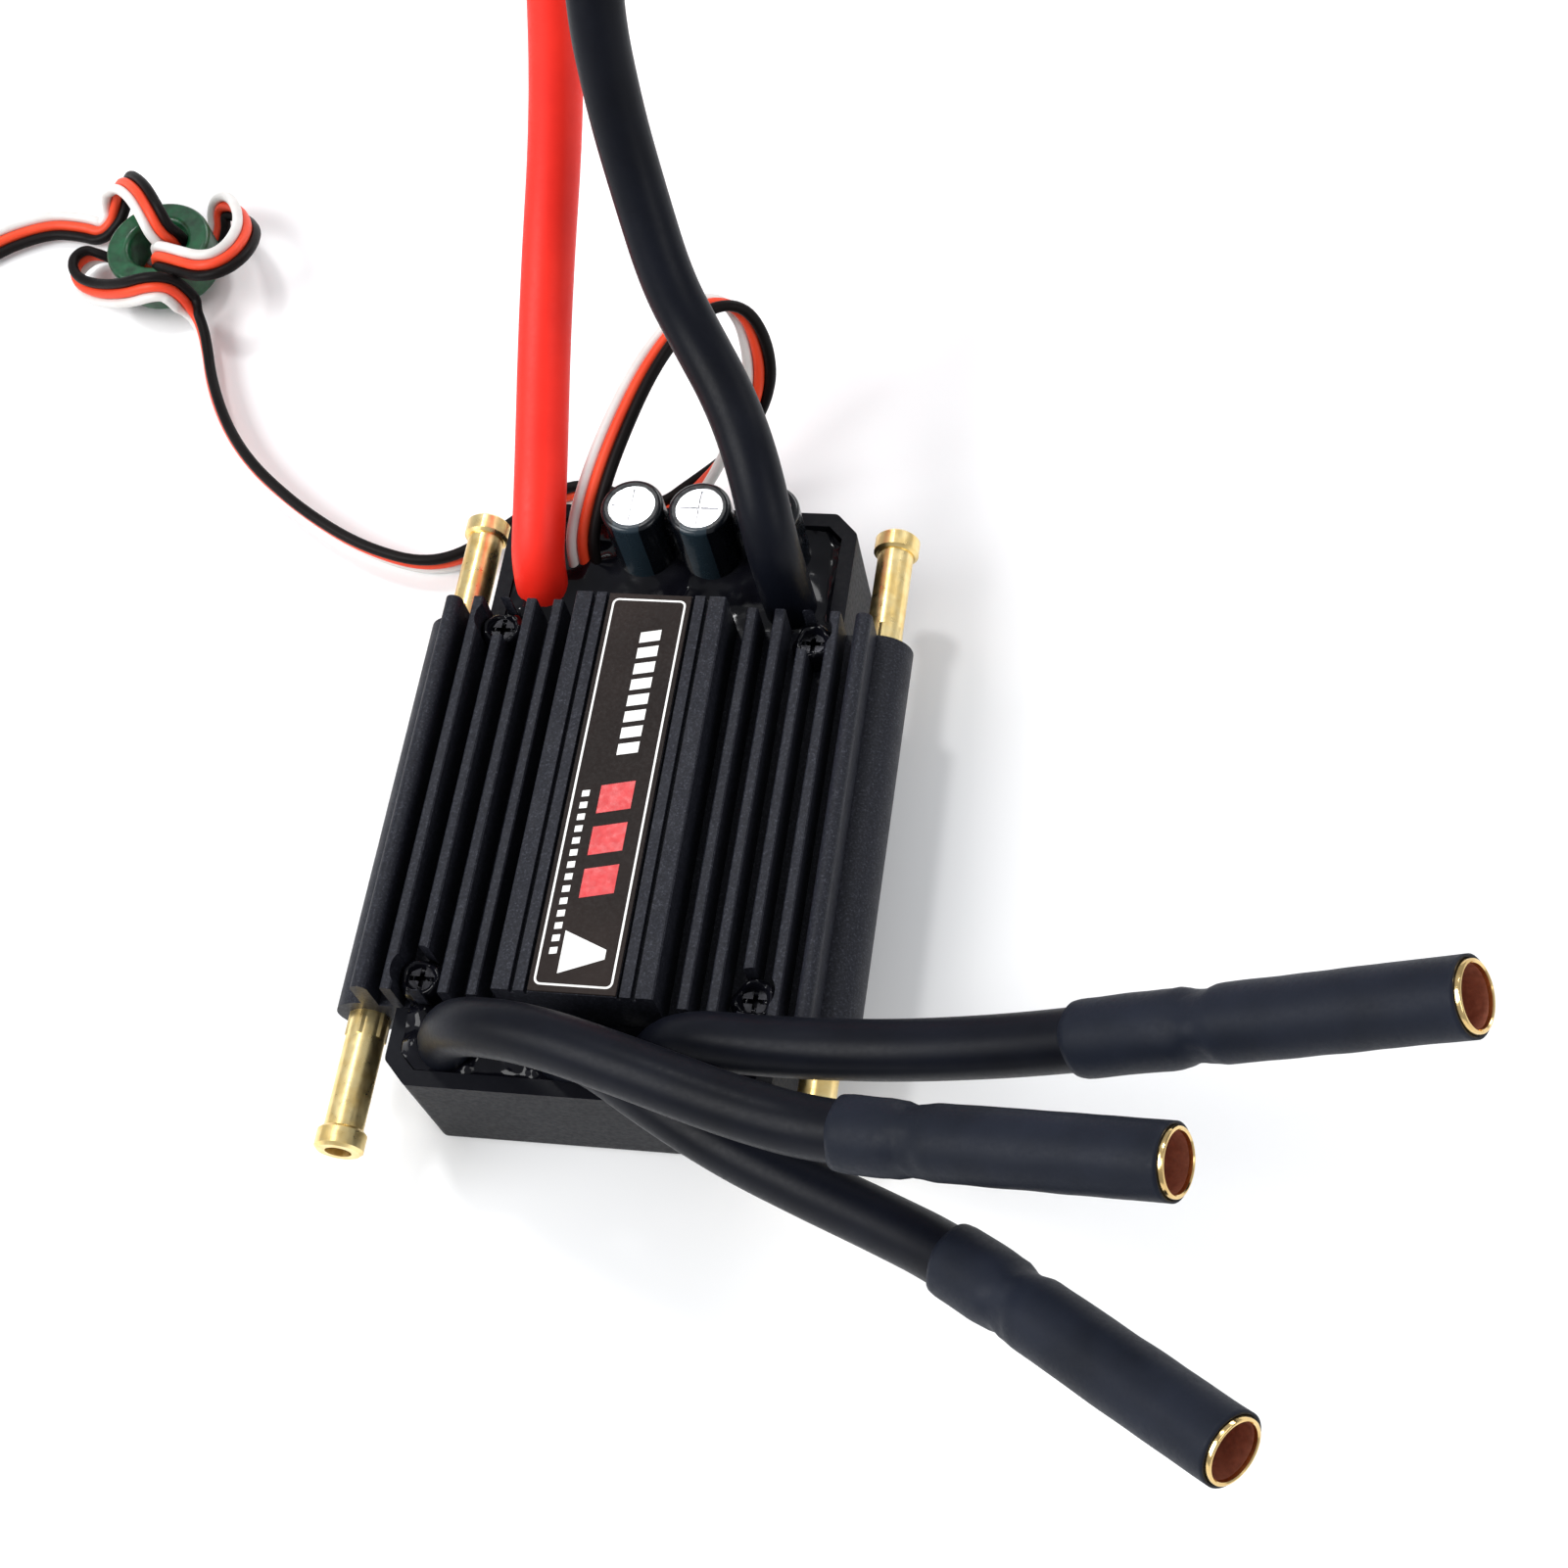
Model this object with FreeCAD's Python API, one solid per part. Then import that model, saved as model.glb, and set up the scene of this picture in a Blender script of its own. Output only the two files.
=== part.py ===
"""Water-cooled brushless speed controller for model boats, in millimetres.

+X runs across the case, +Y towards the battery leads and +Z up. The origin is the point of the
case's flat underside below the middle of the heatsink.
"""
import FreeCAD, Part
import math
import os

from FreeCAD import Vector

# ---- driving dimensions ----------------------------------------------------------------------
TOTAL_HEIGHT = 17.0
SINK_LENGTH = 36.0
PLATE_BOTTOM = 9.8
PLATE_THICKNESS = 2.0
PLATE_HALF_WIDTH = 15.4

PLATFORM_HALF_WIDTH = 6.4
GROOVE_SPANS = ((3.53, 3.78), (4.62, 5.0))
GROOVE_DEPTH = 0.6
FIN_PITCH = 2.33
FIRST_FIN = 8.35
FIN_COUNT = 4
FIN_THICKNESS = 0.88
FIN_TOP = TOTAL_HEIGHT - 1.5
SHOULDER_X = 17.66
SHOULDER_RADIUS = 0.7

TUBE_X = 18.45
TUBE_Z = 9.3
TUBE_RADIUS = 2.7
TUBE_BORE_RADIUS = 1.45

CASE_HALF_WIDTH = 15.4
CASE_FRONT = -24.5
CASE_REAR = 30.0
CASE_HEIGHT = 12.0
CASE_CORNER = 2.0
CASE_WALL = 1.3
CASE_FLOOR = 1.4
CASE_EDGE = 0.7
SINK_CLEARANCE = 0.15
EDGE_BREAK = 0.12

SCREW_X = 13.4
SCREW_Y = 16.1
SCREW_SHANK_RADIUS = 0.95
SCREW_SHANK_LENGTH = 7.4
SCREW_HEAD_RADIUS = 1.55
SCREW_HEAD_HEIGHT = 1.5
SCREW_POCKET_RADIUS = 1.9
BOSS_RADIUS = 1.9

NIPPLE_SHANK_RADIUS = 1.4
NIPPLE_SHANK_LENGTH = 3.5
NIPPLE_HEX_FLATS = 2.9
NIPPLE_HEX_LENGTH = 2.0
NIPPLE_BARREL_RADIUS = 1.55
NIPPLE_BEAD_RADIUS = 1.95
NIPPLE_BEAD_LENGTH = 1.8
NIPPLE_LENGTH = 11.4
NIPPLE_BORE_RADIUS = 1.05

LABEL_HALF_WIDTH = 3.53
LABEL_THICKNESS = 0.2

POWER_BOARD_BOTTOM = 6.4
POWER_BOARD_THICKNESS = 1.6
CONTROL_BOARD_BOTTOM = 3.2
CONTROL_BOARD_THICKNESS = 1.0
TRANSISTOR_HEIGHT = 1.1
POTTING_TOP = 10.6

CAPACITOR_RADIUS = 2.7
CAPACITOR_Y = 26.0
CAPACITOR_TOP = 18.0
CAPACITOR_XS = (-2.9, 2.95, 8.8)
SLEEVE_THICKNESS = 0.12

LEAD_DIAMETER = 4.5
SOCKET_LENGTH = 20.5
SOCKET_OUTER_RADIUS = 2.35
SOCKET_BORE_RADIUS = 2.0
SOCKET_BORE_DEPTH = 13.0
SOLDER_CUP_RADIUS = 1.7
SOLDER_CUP_DEPTH = 4.5
SHRINK_THICKNESS = 0.28
SHRINK_ON_LEAD = 3.4
SHRINK_SETBACK = 0.4
TIP_LENGTH = 5.0
TIP_RADIUS = 1.5

SIGNAL_WIDTH = 3.0
RIBBON_THICKNESS = 1.0
CORE_OUTER_RADIUS = 5.3
CORE_INNER_RADIUS = 3.0
CORE_HEIGHT = 4.2
CORE_CENTRE = Vector(-61.6, 64.2, 0)
TURN_ANGLES = (20, 140, 225)
TURN_BULGE = 2.6
PLUG_LENGTH = 14.0
PLUG_HALF_WIDTH = 3.9
PLUG_HEIGHT = 2.6
PLUG_PITCH = 2.54

# ---- routes of the leads, start to end --------------------------------------------------------
MOTOR_ROUTES = {
    "a": [(5.4, -20.9, 9.4), (6.4, -20.8, 13.4), (10.0, -21.0, 17.2), (15.9, -21.9, 19.0),
          (24.9, -22.4, 21.0), (33.8, -23.0, 25.0), (41.0, -23.5, 29.3), (47.6, -24.0, 33.6)],
    "b": [(-11.6, -20.8, 9.6), (-12.2, -20.7, 14.8), (-8.0, -21.9, 19.6), (-0.9, -23.3, 22.0),
          (7.7, -26.0, 23.3), (15.4, -28.4, 23.7), (22.5, -30.1, 24.6), (28.8, -31.1, 27.4)],
    "c": [(-1.8, -20.9, 9.0), (-0.9, -20.9, 12.8), (2.4, -22.3, 15.3), (7.8, -25.6, 15.6),
          (14.0, -28.8, 15.6), (20.3, -31.6, 16.8), (26.1, -34.2, 18.6), (31.6, -36.9, 20.7),
          (36.4, -40.2, 23.3)],
}
BATTERY_ROUTES = {
    "positive": [(-11.6, 21.4, 9.4), (-11.5, 22.0, 13.6), (-11.1, 25.4, 17.0), (-11.4, 31.2, 19.5),
                 (-11.8, 38.9, 23.0), (-11.4, 45.4, 28.0), (-10.4, 50.8, 34.0), (-9.4, 55.4, 41.0),
                 (-8.6, 60.5, 50.0), (-8.2, 69.6, 57.6), (-8.2, 82.2, 60.6), (-8.6, 95.0, 57.4),
                 (-9.2, 105.4, 48.6), (-9.8, 112.0, 36.0), (-10.4, 116.6, 20.8),
                 (-11.0, 126.0, 9.2), (-12.0, 139.2, 2.9), (-13.8, 151.4, 2.3)],
    "negative": [(10.6, 20.75, 9.4), (10.5, 20.75, 14.4), (10.2, 21.3, 20.6), (8.6, 26.4, 24.6),
                 (6.2, 31.4, 26.2), (3.2, 35.6, 28.6), (0.8, 38.8, 31.8), (-1.0, 43.0, 37.0),
                 (-2.4, 46.6, 43.0), (-3.0, 50.0, 51.0), (-2.4, 56.5, 59.5), (-1.0, 66.5, 65.0),
                 (1.2, 79.0, 65.4), (3.2, 91.4, 61.0), (4.8, 101.2, 52.0), (5.8, 108.0, 39.6),
                 (6.4, 113.4, 23.0), (7.2, 123.6, 10.6), (8.6, 136.8, 3.6), (10.8, 149.2, 2.3)],
}
SIGNAL_ROUTE = [(-7.9, 23.6, 9.4), (-8.3, 24.3, 12.6), (-7.7, 27.0, 15.4), (-5.8, 32.4, 18.6),
                (-2.9, 39.4, 21.2), (0.7, 45.0, 21.8), (4.2, 45.6, 20.2), (5.3, 43.3, 14.8),
                (3.4, 40.9, 9.6), (-0.1, 38.1, 5.8), (-5.4, 35.2, 2.8), (-13.5, 39.0, 2.6),
                (-19.8, 33.0, 2.0), (-25.4, 29.2, 1.6), (-33.0, 31.0, 1.6), (-40.4, 35.2, 1.6),
                (-47.6, 40.8, 1.6), (-52.6, 47.8, 1.6), (-55.6, 55.6, 1.7)]
SIGNAL_TAIL_ROUTE = [(-71.4, 67.6, 1.6), (-76.8, 69.2, 1.6), (-83.2, 65.6, 1.6),
                     (-87.6, 58.8, 1.6), (-88.2, 51.2, 1.6), (-87.0, 45.4, 1.6)]


# ---- helpers ----------------------------------------------------------------------------------
def box(x0, x1, y0, y1, z0, z1):
    return Part.makeBox(x1 - x0, y1 - y0, z1 - z0, Vector(x0, y0, z0))


def cylinder(radius, height, base, axis=Vector(0, 0, 1)):
    return Part.makeCylinder(radius, height, base, axis)


def prism(outline, z0, z1):
    points = [Vector(x, y, z0) for x, y in outline]
    return Part.Face(Part.makePolygon(points + points[:1])).extrude(Vector(0, 0, z1 - z0))


def fused(shapes):
    return shapes[0].multiFuse(shapes[1:]).removeSplitter() if len(shapes) > 1 else shapes[0]


def mirrored_x(shape):
    return shape.mirror(Vector(0, 0, 0), Vector(1, 0, 0))


def vectors(route):
    return [Vector(*point) for point in route]


def bend(before, corner, after):
    """The tangent points and radius of the arc at one corner of a route."""
    into = corner - before
    out = after - corner
    turn = into.getAngle(out)
    reach = 0.45 * min(into.Length, out.Length)
    into.normalize()
    out.normalize()
    return corner - into * reach, corner + out * reach, reach / math.tan(turn / 2), turn


def arc_middle(start, corner, end, radius, turn):
    """The middle of a corner's arc, which lies between the corner and the chord."""
    inward = (start + end) * 0.5 - corner
    inward.normalize()
    return corner + inward * (radius / math.cos(turn / 2) - radius)


def path_wire(route):
    """Straight runs joined by tangent arcs, and the list of the arcs' radii."""
    points = vectors(route)
    edges = []
    radii = []
    here = points[0]
    for before, corner, after in zip(points, points[1:], points[2:]):
        start, end, radius, turn = bend(before, corner, after)
        edges.append(Part.LineSegment(here, start).toShape())
        edges.append(Part.Arc(start, arc_middle(start, corner, end, radius, turn), end).toShape())
        radii.append(radius)
        here = end
    edges.append(Part.LineSegment(here, points[-1]).toShape())
    return Part.Wire(edges), radii


def lead_tube(name, route, diameter):
    """A round lead swept along its route; its radii and volume are printed."""
    wire, radii = path_wire(route)
    points = vectors(route)
    ring = Part.Wire(Part.makeCircle(diameter / 2, points[0], points[1] - points[0]))
    tube = wire.makePipeShell([ring], True, False)
    ratio = tube.Volume / (math.pi * diameter ** 2 / 4 * wire.Length)
    print(name, "length %.1f" % wire.Length, "volume ratio %.4f" % ratio,
          "radii", ["%.1f" % radius for radius in radii])
    return tube


def last_direction(route):
    points = vectors(route)
    direction = points[-1] - points[-2]
    direction.normalize()
    return points[-1], direction


def first_direction(route):
    points = vectors(route)
    direction = points[1] - points[0]
    direction.normalize()
    return points[0], direction


# ---- case and heatsink ------------------------------------------------------------------------
def case_outline(inset):
    """The tray's plan: a rectangle with its four corners cut off at 45 degrees."""
    half = CASE_HALF_WIDTH - inset
    front = CASE_FRONT + inset
    rear = CASE_REAR - inset
    cut = CASE_CORNER - inset * (2 - math.sqrt(2))
    return [(half - cut, front), (half, front + cut), (half, rear - cut), (half - cut, rear),
            (cut - half, rear), (-half, rear - cut), (-half, front + cut), (cut - half, front)]


def screw_places():
    return [Vector(sx * SCREW_X, sy * SCREW_Y, 0) for sx in (-1, 1) for sy in (-1, 1)]


def boss(place):
    return cylinder(BOSS_RADIUS, PLATE_BOTTOM - CASE_FLOOR, place + Vector(0, 0, CASE_FLOOR))


def screw_hole(place):
    base = place + Vector(0, 0, PLATE_BOTTOM - SCREW_SHANK_LENGTH)
    return cylinder(SCREW_SHANK_RADIUS, SCREW_SHANK_LENGTH + 1, base)


def base_case():
    outer = prism(case_outline(0), 0, CASE_HEIGHT)
    rim = [edge for edge in outer.Edges if edge.BoundBox.ZMax < CASE_EDGE]
    posts = [edge for edge in outer.Edges if edge.BoundBox.ZLength > CASE_HEIGHT / 2]
    outer = outer.makeFillet(CASE_EDGE, rim + posts)
    hollow = prism(case_outline(CASE_WALL), CASE_FLOOR, CASE_HEIGHT + 1)
    reach = SINK_LENGTH / 2 + SINK_CLEARANCE
    saddle = box(-20, 20, -reach, reach, PLATE_BOTTOM, CASE_HEIGHT + 1)
    tray = outer.cut(hollow).fuse([boss(place) for place in screw_places()]).cut(saddle)
    return tray.cut([screw_hole(place) for place in screw_places()]).removeSplitter()


def bar(x0, x1, z0, z1):
    """A full-length bar of the heatsink with its two top edges broken."""
    half = SINK_LENGTH / 2
    cut = EDGE_BREAK
    outline = [(x0, z0), (x1, z0), (x1, z1 - cut), (x1 - cut, z1), (x0 + cut, z1), (x0, z1 - cut)]
    points = [Vector(x, -half, z) for x, z in outline]
    return Part.Face(Part.makePolygon(points + points[:1])).extrude(Vector(0, SINK_LENGTH, 0))


def fin_side():
    """The fins, shoulder and water tube of the +X side."""
    half = SINK_LENGTH / 2
    plate_top = PLATE_BOTTOM + PLATE_THICKNESS
    parts = []
    for index in range(FIN_COUNT):
        centre = FIRST_FIN + index * FIN_PITCH
        edge = FIN_THICKNESS / 2
        parts.append(bar(centre - edge, centre + edge, plate_top - 0.2, FIN_TOP))
    low = SHOULDER_X - SHOULDER_RADIUS
    high = SHOULDER_X + SHOULDER_RADIUS
    crown = FIN_TOP - SHOULDER_RADIUS
    along = Vector(0, 1, 0)
    parts.append(box(low, high, -half, half, TUBE_Z, crown))
    parts.append(cylinder(SHOULDER_RADIUS, SINK_LENGTH, Vector(SHOULDER_X, -half, crown), along))
    parts.append(box(PLATE_HALF_WIDTH - 0.5, low + 0.1, -half, half, PLATE_BOTTOM, plate_top))
    parts.append(cylinder(TUBE_RADIUS, SINK_LENGTH, Vector(TUBE_X, -half, TUBE_Z), along))
    return parts


def heatsink():
    half = SINK_LENGTH / 2
    plate_top = PLATE_BOTTOM + PLATE_THICKNESS
    right = fused(fin_side())
    width = PLATE_HALF_WIDTH
    plate = box(-width, width, -half, half, PLATE_BOTTOM, plate_top)
    wide = PLATFORM_HALF_WIDTH
    platform = bar(-wide, wide, plate_top - 0.2, TOTAL_HEIGHT)
    sink = fused([plate, platform, right, mirrored_x(right)])
    cuts = [box(-LABEL_HALF_WIDTH, LABEL_HALF_WIDTH, -half - 1, half + 1,
                TOTAL_HEIGHT - LABEL_THICKNESS, TOTAL_HEIGHT + 1)]
    for low, high in GROOVE_SPANS:
        groove = box(low, high, -half - 1, half + 1, TOTAL_HEIGHT - GROOVE_DEPTH, TOTAL_HEIGHT + 1)
        cuts += [groove, mirrored_x(groove)]
    for side in (-1, 1):
        start = Vector(side * TUBE_X, -half - 1, TUBE_Z)
        cuts.append(cylinder(TUBE_BORE_RADIUS, SINK_LENGTH + 2, start, Vector(0, 1, 0)))
    for place in screw_places():
        cuts.append(cylinder(SCREW_POCKET_RADIUS, 10, place + Vector(0, 0, plate_top)))
        cuts.append(cylinder(SCREW_SHANK_RADIUS + 0.15, 10, place + Vector(0, 0, PLATE_BOTTOM - 1)))
    return sink.cut(cuts)


def label_plate():
    half = SINK_LENGTH / 2 - 0.1
    wide = LABEL_HALF_WIDTH - 0.05
    return box(-wide, wide, -half, half, TOTAL_HEIGHT - LABEL_THICKNESS, TOTAL_HEIGHT)


def screw(place):
    """A cross-recessed pan-head screw with its head at the bottom of a heatsink pocket."""
    seat = PLATE_BOTTOM + PLATE_THICKNESS
    top = seat + SCREW_HEAD_HEIGHT
    head = cylinder(SCREW_HEAD_RADIUS, SCREW_HEAD_HEIGHT, place + Vector(0, 0, seat))
    head = head.makeFillet(0.5, [edge for edge in head.Edges if edge.BoundBox.ZMin > seat + 1])
    tip = PLATE_BOTTOM - SCREW_SHANK_LENGTH
    shank = cylinder(SCREW_SHANK_RADIUS, seat - tip, place + Vector(0, 0, tip))
    arm = 1.0
    slot = 0.2
    x, y = place.x, place.y
    recess = [box(x - arm, x + arm, y - slot, y + slot, top - 0.8, top + 1),
              box(x - slot, x + slot, y - arm, y + arm, top - 0.8, top + 1)]
    return head.fuse(shank).cut(recess).removeSplitter()


def nipple(side, end):
    """A hose nipple: threaded shank, hexagon, barrel and end bead, with a bore right through."""
    axis = Vector(0, end, 0)
    face = Vector(side * TUBE_X, end * SINK_LENGTH / 2, TUBE_Z)
    shank = cylinder(NIPPLE_SHANK_RADIUS, NIPPLE_SHANK_LENGTH + 0.5,
                     face - axis * NIPPLE_SHANK_LENGTH, axis)
    corner = NIPPLE_HEX_FLATS / math.sqrt(3)
    turns = [math.radians(60 * step + 30) for step in range(7)]
    ring = [face + Vector(corner * math.cos(t), 0, corner * math.sin(t)) for t in turns]
    hexagon = Part.Face(Part.makePolygon(ring)).extrude(axis * NIPPLE_HEX_LENGTH)
    bead_start = NIPPLE_LENGTH - NIPPLE_BEAD_LENGTH
    barrel = cylinder(NIPPLE_BARREL_RADIUS, bead_start + 0.2, face, axis)
    bead = cylinder(NIPPLE_BEAD_RADIUS, NIPPLE_BEAD_LENGTH, face + axis * bead_start, axis)
    bead = bead.makeChamfer(0.25, [edge for edge in bead.Edges if edge.Closed])
    solid = fused([shank, hexagon, barrel, bead])
    bore = cylinder(NIPPLE_BORE_RADIUS, NIPPLE_LENGTH + NIPPLE_SHANK_LENGTH + 2,
                    face - axis * (NIPPLE_SHANK_LENGTH + 1), axis)
    return solid.cut(bore)


# ---- electronics ------------------------------------------------------------------------------
def header_pin_places():
    return [Vector(sx * 9.2, (step - 2.5) * 2.54, 0) for sx in (-1, 1) for step in range(6)]


def header_pins():
    half = 0.32
    low = CONTROL_BOARD_BOTTOM - 0.6
    high = POWER_BOARD_BOTTOM + POWER_BOARD_THICKNESS + 0.5
    return [box(p.x - half, p.x + half, p.y - half, p.y + half, low, high)
            for p in header_pin_places()]


def header_strips():
    low = CONTROL_BOARD_BOTTOM + CONTROL_BOARD_THICKNESS
    strips = [box(sx * 9.2 - 1.2, sx * 9.2 + 1.2, -7.6, 7.6, low, POWER_BOARD_BOTTOM)
              for sx in (-1, 1)]
    return [strip.cut(header_pins()) for strip in strips]


def capacitor_lead_places():
    return [Vector(x + offset, CAPACITOR_Y, 0) for x in CAPACITOR_XS for offset in (-1.0, 1.0)]


def capacitor_leads():
    low = POWER_BOARD_BOTTOM - 0.8
    return [cylinder(0.3, POWER_BOARD_BOTTOM + POWER_BOARD_THICKNESS + 1.0 - low,
                     place + Vector(0, 0, low)) for place in capacitor_lead_places()]


def power_board():
    top = POWER_BOARD_BOTTOM + POWER_BOARD_THICKNESS
    board = box(-13.6, 13.6, -22.2, 28.4, POWER_BOARD_BOTTOM, top)
    notches = [cylinder(BOSS_RADIUS + 0.4, 4, place + Vector(0, 0, POWER_BOARD_BOTTOM - 1))
               for place in screw_places()]
    corners = [box(sx * 14 - 1.4, sx * 14 + 1.4, y - 1.4, y + 1.4, POWER_BOARD_BOTTOM - 1, top + 1)
               for sx in (-1, 1) for y in (-22.4, 28.4)]
    return board.cut(notches + corners + header_pins() + capacitor_leads())


def control_board():
    board = box(-11.0, 11.0, -13.0, 13.0, CONTROL_BOARD_BOTTOM,
                CONTROL_BOARD_BOTTOM + CONTROL_BOARD_THICKNESS)
    return board.cut(header_pins())


def power_transistors():
    """Twelve power packages in three phase groups, pressed against the heatsink by the pad."""
    low = POWER_BOARD_BOTTOM + POWER_BOARD_THICKNESS
    return [box(x - 2.4, x + 2.4, y - 2.9, y + 2.9, low, low + TRANSISTOR_HEIGHT)
            for x in (-6.0, 0.0, 6.0) for y in (-10.5, -3.5, 3.5, 10.5)]


def thermal_pad():
    low = POWER_BOARD_BOTTOM + POWER_BOARD_THICKNESS + TRANSISTOR_HEIGHT
    return box(-8.6, 8.6, -13.6, 13.6, low, PLATE_BOTTOM)


def gate_drivers():
    low = CONTROL_BOARD_BOTTOM - 1.2
    return [box(x - 2.0, x + 2.0, -10.8, -5.8, low, CONTROL_BOARD_BOTTOM) for x in (-6.0, 0, 6.0)]


def microcontroller():
    return box(-3.5, 3.5, 0.5, 7.5, CONTROL_BOARD_BOTTOM - 1.0, CONTROL_BOARD_BOTTOM)


def bec_regulators():
    return [box(x - 2.5, x + 2.5, 17.6, 21.6, POWER_BOARD_BOTTOM - 1.5, POWER_BOARD_BOTTOM)
            for x in (-7.5, 7.5)]


def bec_inductor():
    return box(-3.2, 3.2, 17.0, 23.4, POWER_BOARD_BOTTOM - 3.0, POWER_BOARD_BOTTOM)


def ceramic_capacitors():
    return [box(x - 1.6, x + 1.6, -19.8, -18.2, POWER_BOARD_BOTTOM - 1.4, POWER_BOARD_BOTTOM)
            for x in (-10.0, -6.0, -2.0, 2.0, 6.0, 10.0)]


def capacitor_base():
    return POWER_BOARD_BOTTOM + POWER_BOARD_THICKNESS + 0.3


def capacitor_can(x):
    """A drawn can, open at the bottom, with a cross scored in its top and a rolled neck."""
    low = capacitor_base()
    radius = CAPACITOR_RADIUS - SLEEVE_THICKNESS
    can = cylinder(radius, CAPACITOR_TOP - low, Vector(x, CAPACITOR_Y, low))
    can = can.makeFillet(0.35, [e for e in can.Edges if e.BoundBox.ZMin > CAPACITOR_TOP - 0.1])
    neck = Part.makeTorus(radius + 0.25, 0.5, Vector(x, CAPACITOR_Y, low + 1.6))
    mouth = cylinder(radius - 0.3, 2.4, Vector(x, CAPACITOR_Y, low - 0.1))
    reach = 1.7
    slot = 0.09
    scores = [box(x - reach, x + reach, CAPACITOR_Y - slot, CAPACITOR_Y + slot,
                  CAPACITOR_TOP - 0.15, CAPACITOR_TOP + 1),
              box(x - slot, x + slot, CAPACITOR_Y - reach, CAPACITOR_Y + reach,
                  CAPACITOR_TOP - 0.15, CAPACITOR_TOP + 1)]
    return can.cut([neck, mouth] + scores)


def capacitor_sleeve(x):
    """The shrunk plastic sleeve, turned in over the rim of the can."""
    low = capacitor_base() + 0.2
    outer = cylinder(CAPACITOR_RADIUS, CAPACITOR_TOP + 0.1 - low, Vector(x, CAPACITOR_Y, low))
    outer = outer.makeFillet(0.4, [e for e in outer.Edges if e.BoundBox.ZMin > CAPACITOR_TOP])
    inner = CAPACITOR_RADIUS - SLEEVE_THICKNESS
    hollow = cylinder(inner, CAPACITOR_TOP - low, Vector(x, CAPACITOR_Y, low - 0.001))
    hollow = hollow.makeFillet(0.35, [e for e in hollow.Edges
                                      if e.BoundBox.ZMin > CAPACITOR_TOP - 0.1])
    mouth = cylinder(inner - 0.55, 2, Vector(x, CAPACITOR_Y, CAPACITOR_TOP - 1))
    return outer.cut([hollow, mouth])


def capacitor_bungs():
    """The rubber plug in each can's mouth, which the two leads come out of."""
    low = capacitor_base()
    radius = CAPACITOR_RADIUS - SLEEVE_THICKNESS - 0.3
    return [cylinder(radius - 0.45, 2.2, Vector(x, CAPACITOR_Y, low)).cut(capacitor_leads())
            for x in CAPACITOR_XS]


# ---- leads and what is on them ----------------------------------------------------------------
def all_lead_routes():
    return list(MOTOR_ROUTES.values()) + list(BATTERY_ROUTES.values())


def board_ends():
    """The stripped, tinned end of each power lead, soldered down on the power board."""
    board = box(-20, 20, -30, 35, 0, POWER_BOARD_BOTTOM + POWER_BOARD_THICKNESS)
    ends = []
    for route in all_lead_routes():
        start, direction = first_direction(route)
        ends.append(cylinder(TIP_RADIUS, 1.8, start, direction * -1).cut(board))
    return ends


def cup_ends():
    """The stripped, tinned end of each motor lead, soldered into its socket's cup."""
    ends = []
    for route in MOTOR_ROUTES.values():
        end, direction = last_direction(route)
        ends.append(cylinder(TIP_RADIUS, SOLDER_CUP_DEPTH - 0.2, end, direction))
    return ends


def motor_socket(route):
    """A female bullet socket: solder cup at the lead's end and a spring bore at the open end."""
    end, direction = last_direction(route)
    barrel = cylinder(SOCKET_OUTER_RADIUS, SOCKET_LENGTH, end, direction)
    cup = cylinder(SOLDER_CUP_RADIUS, SOLDER_CUP_DEPTH + 1, end - direction, direction)
    mouth = end + direction * (SOCKET_LENGTH - SOCKET_BORE_DEPTH)
    bore = cylinder(SOCKET_BORE_RADIUS, SOCKET_BORE_DEPTH + 1, mouth, direction)
    return barrel.cut([cup, bore])


def heat_shrink(route):
    """The shrunk sleeve over the lead's end and its socket, one stepped tube."""
    end, direction = last_direction(route)
    gap = 0.03
    lead = LEAD_DIAMETER / 2
    start = end - direction * SHRINK_ON_LEAD
    sleeve_length = SOCKET_LENGTH - SHRINK_SETBACK
    outer = fused([cylinder(lead + SHRINK_THICKNESS, SHRINK_ON_LEAD + 0.5, start, direction),
                   cylinder(SOCKET_OUTER_RADIUS + SHRINK_THICKNESS, sleeve_length, end, direction)])
    inner = [cylinder(lead + gap, SHRINK_ON_LEAD + 1, start - direction, direction),
             cylinder(SOCKET_OUTER_RADIUS + gap, sleeve_length + 1, end, direction)]
    return outer.cut(inner)


def battery_tip(route):
    end, direction = last_direction(route)
    return cylinder(TIP_RADIUS, TIP_LENGTH, end, direction)


def ferrite_core():
    base = CORE_CENTRE + Vector(0, 0, RIBBON_THICKNESS + 0.1)
    ring = cylinder(CORE_OUTER_RADIUS, CORE_HEIGHT, base)
    ring = ring.cut(cylinder(CORE_INNER_RADIUS, CORE_HEIGHT + 2, base - Vector(0, 0, 1)))
    return ring.makeFillet(0.5, [edge for edge in ring.Edges if edge.Closed])


def signal_winding():
    """The three loose turns of the signal lead round the ferrite core."""
    core_low = RIBBON_THICKNESS + 0.1
    loop_top = core_low + CORE_HEIGHT + TURN_BULGE
    half = SIGNAL_WIDTH / 2
    thick = RIBBON_THICKNESS
    turns = []
    for angle in TURN_ANGLES:
        reach = CORE_OUTER_RADIUS + TURN_BULGE
        turn = box(CORE_INNER_RADIUS - thick - 0.2, reach, -half, half, 0, loop_top)
        hole = box(CORE_INNER_RADIUS - 0.2, reach - thick, -half - 1, half + 1,
                   thick, loop_top - thick)
        turn = turn.cut(hole)
        turn.rotate(Vector(0, 0, 0), Vector(0, 0, 1), angle)
        turn.translate(CORE_CENTRE)
        turns.append(turn)
    return turns


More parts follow.
